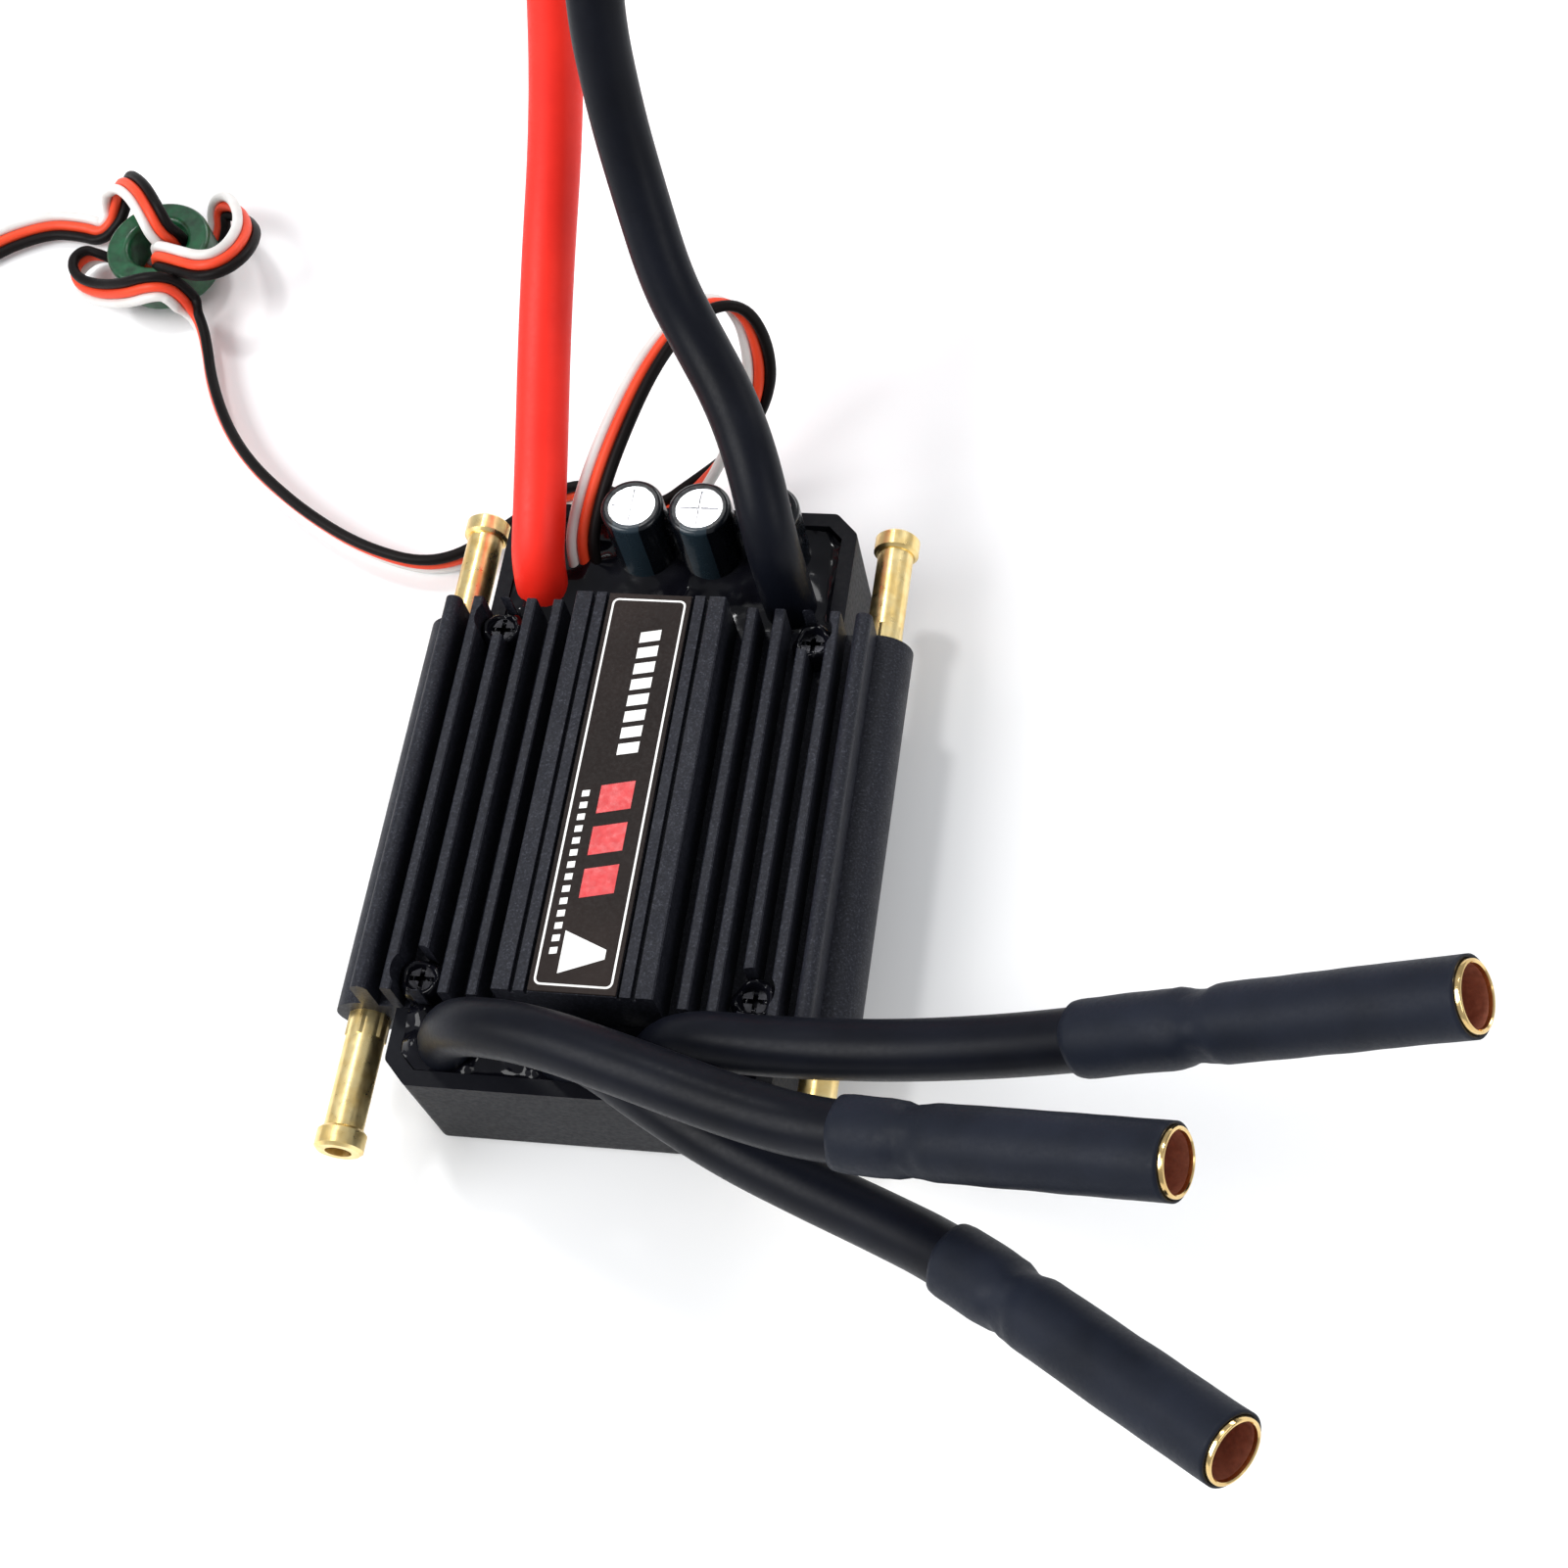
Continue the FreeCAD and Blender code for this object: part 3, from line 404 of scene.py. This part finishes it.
def sleeve_film():
    """A black shrunk sleeve with a painted highlight: a slate band down its front."""
    s = Shader("sleeve_film", Base_Color=(0.010, 0.012, 0.016), Coat_Weight=0.15,
               Coat_Roughness=0.08, Specular_IOR_Level=0.30)
    split = s.node("ShaderNodeSeparateXYZ")
    s.link(s.place(), split.inputs[0])
    # Each band of slate colour is a painted highlight, where the sleeve would reflect the light.
    painted_highlight_bands = 0.0
    for x in CAPACITOR_PLACES_X:
        away = s.math("ABSOLUTE", s.math("SUBTRACT", split.outputs["X"], (x + HIGHLIGHT_BAND_SHIFT) * MM))
        painted_highlight_bands = s.math("MAXIMUM", painted_highlight_bands, s.math("LESS_THAN", away, HIGHLIGHT_BAND_HALF_WIDTH * MM))
    front = s.math("LESS_THAN", split.outputs["Y"], CAPACITOR_ROW_Y * MM)
    shown = s.math("MULTIPLY", painted_highlight_bands, front)
    s.tones(shown, (0.003, 0.004, 0.006), (0.016, 0.028, 0.038), 0.2, 0.8)
    s.rough(s.noise(1500, detail=3), 0.16, 0.30)
    s.bump(s.noise(900, detail=2), 0.02, 0.4)
    return s.material


def ferrite():
    s = Shader("ferrite_enamel", Base_Color=(0.005, 0.08, 0.03), Coat_Weight=0.10,
               Coat_Roughness=0.2)
    s.tones(s.noise(900, detail=5), (0.0015, 0.030, 0.009), (0.004, 0.095, 0.032))
    s.rough(s.noise(2200, detail=3), 0.28, 0.45)
    s.bump(s.noise(1700, detail=4), 0.05, 0.5)
    return s.material


def board():
    s = Shader("board_mask", Base_Color=(0.01, 0.07, 0.04), Coat_Weight=0.3)
    s.tones(s.cells(700), (0.02, 0.13, 0.07), (0.008, 0.06, 0.035), 0.15, 0.5)
    s.rough(s.noise(1500), 0.3, 0.45)
    s.bump(s.cells(700), 0.03, 0.4)
    return s.material


# ---- meshes -------------------------------------------------------------------------------------
def add_object(name, data, slot, *replaced):
    piece = bpy.data.objects.new(name, data)
    bpy.context.scene.collection.objects.link(piece)
    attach(piece, "root")
    if replaced:
        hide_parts(*replaced)
    return piece


def mesh_of(name, points, faces, materials, indices=None, smooth=True):
    mesh = bpy.data.meshes.new(name)
    mesh.from_pydata([tuple(p) for p in points], [], faces)
    for material in materials:
        mesh.materials.append(material)
    if indices:
        mesh.polygons.foreach_set("material_index", indices)
    if smooth:
        mesh.polygons.foreach_set("use_smooth", [True] * len(mesh.polygons))
    mesh.validate()
    mesh.update()
    return mesh


def nurbs(name, points, bevel=0.0, resolution=14):
    """A curve whose one spline has these control points, in metres."""
    curve = bpy.data.curves.new(name, "CURVE")
    curve.dimensions = "3D"
    curve.resolution_u = resolution
    spline = curve.splines.new("NURBS")
    spline.points.add(len(points) - 1)
    for target, point in zip(spline.points, points):
        target.co = (*point, 1)
    spline.order_u = 3
    spline.use_endpoint_u = True
    if bevel:
        curve.bevel_depth = bevel
        curve.bevel_resolution = 10
        curve.use_fill_caps = True
    return curve


def spline_line(points, resolution=14):
    """The points that a route's NURBS spline passes through."""
    holder = bpy.data.objects.new("line", nurbs("line", points, resolution=resolution))
    bpy.context.scene.collection.objects.link(holder)
    bpy.context.view_layer.update()
    mesh = bpy.data.meshes.new_from_object(holder)
    line = [v.co.copy() for v in mesh.vertices]
    bpy.data.objects.remove(holder)
    bpy.data.meshes.remove(mesh)
    return line


def tangents(line):
    found = []
    for index in range(len(line)):
        ahead = line[min(index + 1, len(line) - 1)]
        behind = line[max(index - 1, 0)]
        found.append((ahead - behind).normalized())
    return found


def distances(line):
    total = [0.0]
    for a, b in zip(line, line[1:]):
        total.append(total[-1] + (b - a).length)
    return total


def frames(line):
    """Side directions along a line that turn as little as they can."""
    along = tangents(line)
    side = along[0].orthogonal().normalized()
    found = []
    for direction in along:
        side = (side - direction * side.dot(direction)).normalized()
        found.append((side.copy(), direction.cross(side).normalized()))
    return found


def ring_surface(rings, closed_ends=True):
    """Points and faces of a tube through rings of equal size."""
    size = len(rings[0])
    points = [p for ring in rings for p in ring]
    faces = []
    for level in range(len(rings) - 1):
        low = level * size
        for step in range(size):
            nxt = (step + 1) % size
            faces.append((low + step, low + nxt, low + size + nxt, low + size + step))
    if closed_ends:
        faces.append(tuple(reversed(range(size))))
        faces.append(tuple(range(len(points) - size, len(points))))
    return points, faces


def circle(centre, side, up, radius, segments):
    """A ring of points round a centre that is in metres; the radius is in millimetres."""
    return [centre + (side * math.cos(t) + up * math.sin(t)) * radius * MM
            for t in (math.tau * k / segments for k in range(segments))]


def joined(surfaces):
    """The points and the faces of several surfaces as one."""
    points, faces = [], []
    for more, more_faces in surfaces:
        offset = len(points)
        points += more
        faces += [tuple(offset + i for i in face) for face in more_faces]
    return points, faces


def metres(points):
    return [Vector(p) * MM for p in points]


# ---- pieces: leads ------------------------------------------------------------------------------
def round_lead(name, route, material, slot, node):
    curve = nurbs(name, metres(route), bevel=LEAD_DIAMETER / 2 * MM)
    curve.materials.append(material)
    return add_object(name, curve, slot, node)


def route_end(route):
    """Where a route ends, in metres, and the direction it ends in."""
    end = Vector(route[-1]) * MM
    return end, (Vector(route[-1]) - Vector(route[-2])).normalized()


def socket_piece(letter, route, gold, copper):
    """A turned bullet socket: solder cup, body with a stop groove, and a lipped bore."""
    end, axis = route_end(route)
    side = axis.orthogonal().normalized()
    up = axis.cross(side)
    segments = 48

    def surface(outline):
        return ring_surface([circle(end + axis * along * MM, side, up, radius, segments)
                             for along, radius in outline], closed_ends=False)

    body, body_faces = surface(SOCKET_OUTLINE)
    indices = [1 if face[0] // segments >= SOCKET_BORE_FROM else 0 for face in body_faces]
    body_faces.append(tuple(range(len(body) - segments, len(body))))
    indices.append(1)
    cup, cup_faces = surface(SOLDER_CUP)
    cup_faces = [tuple(reversed(face)) for face in cup_faces]
    cup_faces.append(tuple(range(len(cup) - segments, len(cup))))
    indices += [0] * len(cup_faces)
    points, faces = joined([(body, body_faces), (cup, cup_faces)])
    mesh = mesh_of("socket_" + letter, points, faces, [gold, copper], indices)
    mesh.set_sharp_from_angle(angle=math.radians(35))
    return add_object("socket_" + letter, mesh, "gold_plate", "motor_socket_" + letter)


def shrink_radius(s, cover):
    """The sleeve's outer radius at s mm beyond the lead's end."""
    knots = [(-cover, 2.50), (-cover + 0.25, 2.66), (-cover + 0.9, 2.74), (-2.0, 2.74),
             (-0.9, 2.68), (0.4, 2.43), (1.2, 2.46), (2.6, 2.66), (6.0, 2.66), (20.2, 2.62)]
    for (s0, r0), (s1, r1) in zip(knots, knots[1:]):
        if s <= s1:
            t = max(0.0, (s - s0) / (s1 - s0))
            t = t * t * (3 - 2 * t)
            return r0 + (r1 - r0) * t
    return knots[-1][1]


def shrink_ring(point, s, base, side, up, seed, segments):
    """One ring of the sleeve, s mm beyond the lead's end, with its folds and lumps."""
    fold = math.exp(-((s - FOLD_AT) / FOLD_REACH) ** 2)
    ring = []
    for k in range(segments):
        t = math.tau * k / segments
        out = side * math.cos(t) + up * math.sin(t)
        wrinkle = fold * sum(depth * math.sin(count * t + lean * s + seed)
                             for depth, count, lean in FOLDS)
        spot = Vector((math.cos(t) * 1.2, math.sin(t) * 1.2, s * 0.35 + seed))
        lumps = SHRINK_LUMPS * noise.noise(spot)
        ring.append(point + out * max(SHRINK_LEAST_RADIUS, base + wrinkle + lumps) * MM)
    return ring


def shrink_piece(letter, route, material):
    """The shrunk sleeve, which follows the lead and then its socket, with folds at the step."""
    cover = SHRINK_COVER[letter]
    seed = SHRINK_SEED[letter]
    line = spline_line(metres(route), resolution=20)
    total = distances(line)
    path = [(p, s - total[-1]) for p, s in zip(line, total) if s >= total[-1] - cover * MM]
    end, axis = route_end(route)
    steps = 60
    path += [(end + axis * SHRINK_END * MM * k / steps, SHRINK_END * MM * k / steps)
             for k in range(1, steps + 1)]
    centre = [p for p, s in path]
    sides = frames(centre)
    start = tangents(centre[:3])[0]
    segments = 64
    rings = [circle(centre[0] + start * ahead * MM, *sides[0], radius, segments)
             for radius, ahead in ((2.26, 1.2), (2.27, 0.02))]
    for (point, s), (side, up) in zip(path, sides):
        s_mm = s / MM
        ring = shrink_ring(point, s_mm, shrink_radius(s_mm, cover), side, up, seed, segments)
        if s_mm < RAGGED_LENGTH - cover:
            for k in range(segments):
                t = math.tau * k / segments
                ring[k] += start * (0.10 * math.sin(2 * t + seed) + 0.05 * math.sin(5 * t)) * MM
        rings.append(ring)
    rings += [circle(centre[-1] - axis * back * MM, *sides[-1], radius, segments)
              for radius, back in ((2.55, 0.0), (2.40, 0.02), (2.36, 1.5))]
    points, faces = ring_surface(rings, closed_ends=False)
    mesh = mesh_of("shrink_" + letter, points, faces, [material])
    return add_object("shrink_" + letter, mesh, "heat_shrink", "heat_shrink_" + letter)


def tip_piece(pole, route, material):
    """The stripped end of a battery lead: twisted strands under tin."""
    end, axis = route_end(route)
    side = axis.orthogonal().normalized()
    up = axis.cross(side)
    segments, levels = 84, 24
    rings = []
    for level in range(levels + 1):
        s = TIP_LENGTH * level / levels
        past = max(0.0, (s - TIP_ROUND_FROM) / TIP_ROUND_LENGTH)
        close = math.sqrt(max(0.0, 1 - past ** 2))
        ring = []
        for k in range(segments):
            t = math.tau * k / segments
            lobes = STRAND_RELIEF * abs(math.cos(STRAND_WAVES * (t + STRAND_TWIST * s)))
            radius = (TIP_RADIUS + lobes) * (0.55 + 0.45 * close)
            ring.append(end + axis * s * MM
                        + (side * math.cos(t) + up * math.sin(t)) * radius * MM)
        rings.append(ring)
    points, faces = ring_surface(rings)
    mesh = mesh_of("tip_" + pole, points, faces, [material])
    return add_object("tip_" + pole, mesh, "solder", "battery_tip_" + pole)


def signal_points():
    """The ribbon's control points and its widths' directions, from the case to the plug."""
    winding = [(Vector(p) + FERRITE_CENTRE, w) for p, w in WINDING]
    tail = [(Vector(p), w) for p, w in SIGNAL_TAIL]
    return [(Vector(p), w) for p, w in SIGNAL_ROUTE] + winding + tail


def ribbon_sides(line, control):
    """The direction from the white core to the black core at each point of the line."""
    hints = [Vector(w).normalized() for p, w in control]
    spans = len(control) - 2.0
    marks = [0.0] + [k - 0.5 for k in range(1, len(control) - 1)] + [spans]
    last = len(control) - 2
    sides = []
    here = 0
    for index, direction in enumerate(tangents(line)):
        u = spans * index / (len(line) - 1)
        while here < last and u > marks[here + 1]:
            here += 1
        part = (u - marks[here]) / (marks[here + 1] - marks[here])
        hint = hints[here].lerp(hints[here + 1], part)
        sides.append((hint - direction * hint.dot(direction)).normalized())
    return sides


def mean(values):
    return sum(values) / len(values)


def raised_clear(line, sides):
    """The line, lifted smoothly where a core would be below the floor."""
    lifts = [max(0.0, (abs(side.z) * CORE_PITCH + CORE_RADIUS + CORE_CLEARANCE) * MM - point.z)
             for point, side in zip(line, sides)]
    for measure in (max, mean):
        lifts = [measure(lifts[max(0, k - LIFT_REACH):k + LIFT_REACH + 1])
                 for k in range(len(lifts))]
    return [point + Vector((0, 0, lift)) for point, lift in zip(line, lifts)]


def ribbon_lead(materials):
    """The flat signal lead: three cores side by side, white, red and black."""
    control = signal_points()
    line = spline_line([p * MM for p, w in control], resolution=10)
    sides = ribbon_sides(line, control)
    line = raised_clear(line, sides)
    along = tangents(line)
    surfaces, indices = [], []
    for core in range(3):
        rings = []
        for point, direction, wide in zip(line, along, sides):
            up = direction.cross(wide).normalized()
            centre = point + wide * (core - 1) * CORE_PITCH * MM
            rings.append(circle(centre, wide, up, CORE_RADIUS, 12))
        surfaces.append(ring_surface(rings))
        indices += [core] * len(surfaces[-1][1])
    points, faces = joined(surfaces)
    mesh = mesh_of("ribbon_lead", points, faces, materials, indices)
    piece = add_object("ribbon_lead", mesh, "servo_lead",
                       "signal_lead", "signal_lead_winding", "signal_lead_tail")
    return piece, line


# ---- pieces: potting ----------------------------------------------------------------------------
def hills_height(x, y, hills):
    """The height that the hills add at a point; each has a centre, a radius and a height."""
    return sum(h * math.exp(-((x - cx) ** 2 + (y - cy) ** 2) / (r * r))
               for cx, cy, r, h in hills)


def pool_height(x, y, rim, base, hills):
    """The height of a pool's surface, rim mm from the nearest wall."""
    climb = WALL_CLIMB * math.exp(-rim / WALL_CLIMB_REACH)
    rough = sum(height * noise.noise(Vector((x * waves, y * waves, seed)))
                for height, waves, seed in POOL_ROUGHNESS)
    return base + climb + rough + hills_height(x, y, hills)


def potting_pool(name, low_y, high_y, wall_is_low, base, hills, material):
    """A pool of compound inside the case's end, with humps where it wets leads and walls."""
    columns, rows = 110, 34
    points = []
    for row in range(rows + 1):
        y = low_y + (high_y - low_y) * row / rows
        from_wall = (y - low_y) if wall_is_low else (high_y - y)
        limit = POOL_HALF_WIDTH - max(0.0, POOL_CORNER - from_wall)
        for column in range(columns + 1):
            x = limit * (2 * column / columns - 1)
            rim = min(limit - abs(x), from_wall)
            points.append(Vector((x, y, pool_height(x, y, rim, base, hills))) * MM)
    width = columns + 1
    count = len(points)
    points += [Vector((p.x, p.y, POOL_BOTTOM * MM)) for p in points]
    faces = []
    for row in range(rows):
        for column in range(columns):
            a = row * width + column
            faces.append((a, a + 1, a + width + 1, a + width))
            faces.append((count + a + width, count + a + width + 1, count + a + 1, count + a))
    ring = list(range(width)) + [r * width + columns for r in range(1, rows + 1)]
    ring += [rows * width + c for c in range(columns - 1, -1, -1)]
    ring += [r * width for r in range(rows - 1, 0, -1)]
    for a, b in zip(ring, ring[1:] + ring[:1]):
        faces.append((a, count + a, count + b, b))
    mesh = mesh_of(name, points, faces, [material])
    mesh.set_sharp_from_angle(angle=math.radians(60))
    return add_object(name, mesh, "potting", "potting_compound")


def sealant_blob(index, x, y, material):
    """Compound smeared round a screw head in its pocket, sunk where the head's cross is."""
    segments, rows = 56, 16
    thickness = SEALANT_OUTER_RADIUS - SEALANT_INNER_RADIUS
    rings = [circle(Vector((x, y, SEALANT_FLOOR)) * MM, Vector((1, 0, 0)), Vector((0, 1, 0)),
                    SEALANT_OUTER_RADIUS, segments)]
    for row in range(rows + 1):
        t = row / rows
        ring = []
        for k in range(segments):
            a = math.tau * k / segments
            lump = noise.noise(Vector((math.cos(a) * 1.4, math.sin(a) * 1.4, index * 7.3 + t)))
            height = SEALANT_HEIGHT + SEALANT_SWELL * math.sin(math.pi * min(1.0, t * 1.25))
            height += SEALANT_LUMPS * lump * (1 - 0.6 * t)
            if t > SEALANT_HEAD_FROM:
                height = SEALANT_HEAD_HEIGHT - (t - SEALANT_HEAD_FROM) * 1.2
            r = (SEALANT_OUTER_RADIUS - thickness * t) * (1 + 0.03 * lump)
            ring.append(Vector((x + r * math.cos(a), y + r * math.sin(a), height)) * MM)
        rings.append(ring)
    points, faces = ring_surface(rings, closed_ends=False)
    name = "screw_sealant_%d" % index
    mesh = mesh_of(name, points, faces, [material])
    return add_object(name, mesh, "potting")


# ---- pieces: label print ------------------------------------------------------------------------
def slab(outline, z0, z1):
    """A flat solid over an outline in millimetres."""
    low = [Vector((x, y, z0)) * MM for x, y in outline]
    high = [Vector((x, y, z1)) * MM for x, y in outline]
    size = len(outline)
    faces = [tuple(reversed(range(size))), tuple(range(size, 2 * size))]
    faces += [(k, (k + 1) % size, size + (k + 1) % size, size + k) for k in range(size)]
    return low + high, faces


def rounded_rectangle(half_x, half_y, radius, steps=6):
    outline = []
    for cx, cy, start in ((1, 1, 0), (-1, 1, 90), (-1, -1, 180), (1, -1, 270)):
        for k in range(steps + 1):
            a = math.radians(start + 90 * k / steps)
            outline.append((cx * (half_x - radius) + radius * math.cos(a),
                            cy * (half_y - radius) + radius * math.sin(a)))
    return outline


def label_border(material):
    """The thin line round the label's edge."""
    outer = rounded_rectangle(*BORDER_OUTER)
    inner = rounded_rectangle(*BORDER_INNER)
    size = len(outer)
    points = [Vector((x, y, z)) * MM for z in (PRINT_LOW, BORDER_HIGH)
              for ring in (outer, inner) for x, y in ring]
    faces = []
    for k in range(size):
        n = (k + 1) % size
        faces.append((2 * size + k, 2 * size + n, 3 * size + n, 3 * size + k))
        faces.append((size + k, size + n, n, k))
        faces.append((k, n, 2 * size + n, 2 * size + k))
        faces.append((3 * size + k, 3 * size + n, size + n, size + k))
    mesh = mesh_of("label_border", points, faces, [material], smooth=False)
    return add_object("label_border", mesh, "label")


def label_marks(name, outlines, material):
    """Plain marks in place of the label's print."""
    points, faces = joined(slab(outline, PRINT_LOW, MARK_HIGH) for outline in outlines)
    mesh = mesh_of(name, points, faces, [material], smooth=False)
    return add_object(name, mesh, "label")


def slanted(x0, x1, y0, y1, lean):
    """An upright mark whose two ends slope."""
    return [(x0, y0), (x1, y0 + lean), (x1, y1 + lean), (x0, y1)]


# ---- build --------------------------------------------------------------------------------------
make_camera()

white_wire = silicone("wire_white", (0.62, 0.60, 0.57), (0.80, 0.79, 0.77), (0.35, 0.5))
red_wire = silicone("wire_red", (0.74, 0.045, 0.012), (0.88, 0.08, 0.025), (0.42, 0.56),
                    Specular_IOR_Level=0.30)
black_wire = silicone("wire_black", (0.004, 0.003, 0.003), (0.009, 0.007, 0.007), (0.40, 0.52),
                      Specular_IOR_Level=0.09)
black_silicone = silicone("silicone_black", (0.0025, 0.003, 0.0055), (0.005, 0.006, 0.0105),
                          (0.36, 0.48), Specular_IOR_Level=0.11)
red_silicone = silicone("silicone_red", (0.84, 0.016, 0.007), (0.95, 0.024, 0.010), (0.46, 0.58),
                        Specular_IOR_Level=0.30)
gold = turned("gold_flash", (0.62, 0.42, 0.17), (0.80, 0.58, 0.26), (0.10, 0.20))
copper = grained("copper_bore", (0.40, 0.14, 0.085), (0.62, 0.24, 0.15), 1800, (0.34, 0.50), 0.01,
                 metal=0.6)
tin = grained("tinned_strands", (0.62, 0.61, 0.58), (0.80, 0.79, 0.77), 1600, (0.22, 0.38), 0.02,
              metal=1.0)
shrink = shrink_film()
compound = potting()

for letter, route in MOTOR_ROUTES.items():
    lead = round_lead("lead_" + letter, route, black_silicone, "black_silicone",
                      "motor_lead_" + letter)
    socket = socket_piece(letter, route, gold, copper)
    sleeve = shrink_piece(letter, route, shrink)

for pole, route in BATTERY_ROUTES.items():
    rubber = red_silicone if pole == "positive" else black_silicone
    lead = round_lead("lead_" + pole, route, rubber,
                      "red_silicone" if pole == "positive" else "black_silicone",
                      "battery_lead_" + pole)
    tip = tip_piece(pole, route, tin)

ribbon, ribbon_path = ribbon_lead([white_wire, red_wire, black_wire])

# Each hill in the compound: its centre, its radius and its height.
FRONT_HILLS = [(-11.8, -20.6, 2.9, 1.5), (-2.0, -20.6, 2.6, 0.9), (5.6, -20.6, 2.6, 1.2),
               (-13.0, -18.6, 1.5, 1.9), (-12.9, -21.6, 1.2, 1.6), (-7.4, -21.0, 1.4, 1.6),
               (-5.0, -21.4, 1.1, 1.3), (-8.8, -22.5, 0.6, 0.7), (-3.4, -22.4, 0.6, 0.7),
               (1.6, -22.2, 1.2, 0.4), (10.5, -20.4, 2.4, 0.5), (13.2, -18.6, 1.3, 0.9)]
REAR_HILLS = [(-11.6, 21.6, 3.0, 1.6), (10.6, 21.0, 3.0, 1.4), (-7.5, 24.2, 1.8, 1.2),
              (-2.9, 26.0, 3.6, 1.0), (2.95, 26.0, 3.6, 1.0), (8.8, 26.0, 3.6, 1.0),
              (0.5, 20.4, 1.6, 0.6), (-13.0, 18.6, 1.3, 1.0), (13.2, 18.6, 1.3, 0.8)]
potting_pool("potting_front", low_y=-23.15, high_y=-18.06, wall_is_low=True, base=10.75,
             hills=FRONT_HILLS, material=compound)
potting_pool("potting_rear", low_y=18.06, high_y=28.65, wall_is_low=False, base=10.55,
             hills=REAR_HILLS, material=compound)
for index, (x, y) in enumerate(SCREW_PLACES, 1):
    sealant_blob(index, x, y, compound)

white_ink = ink("ink_white", (0.90, 0.89, 0.86), (0.83, 0.82, 0.79))
red_ink = ink("ink_red", (0.62, 0.022, 0.026), (0.55, 0.018, 0.022))
label_border(white_ink)
label_marks("label_bars", [slanted(-0.2, 1.5, y, y + 1.0, 0.35)
                           for y in (13.2, 11.7, 10.2, 8.7, 7.2, 5.7, 4.2, 2.7)], white_ink)
label_marks("label_blocks", [slanted(-0.9, 1.8, y, y + 2.5, 0.6) for y in (-2.6, -6.3, -10.0)],
            red_ink)
label_marks("label_dashes", [slanted(-2.35, -1.75, y, y + 0.55, 0.1)
                             for y in (-1.2 - 1.05 * k for k in range(14))], white_ink)
label_marks("label_wedge", [[(-1.4, -16.4), (2.1, -15.0), (2.1, -14.2), (-1.4, -12.8)]],
            white_ink)

chip = grained("chip_epoxy", (0.010, 0.010, 0.011), (0.022, 0.022, 0.024), 3000, (0.45, 0.60), 0.02)
# Each material, and the CAD nodes that keep their own shape and wear it.
WEARERS = [
    (moulded(), ["base_case"]),
    (anodised(), ["heatsink"]),
    (label_film(), ["label_plate"]),
    (ferrite(), ["ferrite_core"]),
    (turned("brass_turned", (0.88, 0.63, 0.24), (0.98, 0.78, 0.38), (0.26, 0.38)),
     ["water_nipple_front_left", "water_nipple_front_right", "water_nipple_rear_left",
      "water_nipple_rear_right"]),
    (grained("black_oxide", (0.003, 0.003, 0.004), (0.012, 0.012, 0.015), 1500, (0.22, 0.40), 0.02,
             metal=0.8), ["heatsink_screws"]),
    (can_metal(), ["capacitor_can_1", "capacitor_can_2", "capacitor_can_3"]),
    (sleeve_film(), ["capacitor_sleeve_1", "capacitor_sleeve_2", "capacitor_sleeve_3"]),
    (grained("rubber_bung", (0.010, 0.010, 0.011), (0.024, 0.024, 0.026), 1800, (0.55, 0.70),
             0.02), ["capacitor_bungs"]),
    (chip, ["power_transistors", "gate_drivers", "microcontroller", "bec_regulators",
            "bec_inductor", "board_header_strips"]),
    (grained("ceramic_body", (0.36, 0.25, 0.15), (0.50, 0.38, 0.25), 1600, (0.35, 0.5), 0.01),
     ["ceramic_capacitors"]),
    (grained("thermal_pad", (0.34, 0.36, 0.39), (0.46, 0.49, 0.52), 1400, (0.6, 0.75), 0.03),
     ["thermal_pad"]),
    (grained("plug_body", (0.010, 0.010, 0.011), (0.026, 0.026, 0.028), 2200, (0.38, 0.52), 0.02),
     ["signal_plug_housing"]),
    (board(), ["power_board", "control_board"]),
    (gold, ["board_header_pins", "signal_plug_contacts"]),
    (tin, ["capacitor_leads", "board_lead_ends", "socket_lead_ends"]),
]
for material, names in WEARERS:
    for name in names:
        piece = nodes[name]
        if not piece.material_slots:
            piece.data.materials.append(material)
        for place in piece.material_slots:
            place.material = material

# ---- floor and light ----------------------------------------------------------------------------
FLOOR_HALF_SIZE = 3.0
floor_shader = Shader("floor", Base_Color=(0.93, 0.93, 0.93), Roughness=0.8)
floor_shader.tones(floor_shader.noise(3, detail=2), (0.92, 0.92, 0.925), (0.94, 0.94, 0.94))
floor_corners = [(x * FLOOR_HALF_SIZE, y * FLOOR_HALF_SIZE, 0)
                 for x, y in ((-1, -1), (1, -1), (1, 1), (-1, 1))]
floor_mesh = mesh_of("floor", floor_corners, [(0, 1, 2, 3)], [floor_shader.material])
floor = bpy.data.objects.new("floor", floor_mesh)
# A hair below the part, so that the two surfaces don't flicker.
floor.location.z = -0.00002
bpy.context.scene.collection.objects.link(floor)

world = bpy.data.worlds.new("studio")
bpy.context.scene.world = world
world.use_nodes = True
background = world.node_tree.nodes["Background"]
background.inputs["Color"].default_value = (0.93, 0.96, 1.0, 1)
background.inputs["Strength"].default_value = 0.52
area_light("key", place=(-0.55, -0.28, 0.62), target=(0, 0, 0.01), size=(0.55, 0.55), power=7.0)
area_light("rim", place=(0.30, 0.75, 0.40), target=(0, 0, 0.01), size=(0.5, 0.25), power=2.4)
area_light("spark", place=(-0.20, 0.36, 0.72), target=(0, 0.02, 0.01), size=(0.10, 0.10), power=1.5)
area_light("fill", place=(0.70, -0.25, 0.45), target=(0, 0, 0.01), size=(0.4, 0.4), power=1.6)
bpy.context.scene.view_settings.view_transform = "Standard"
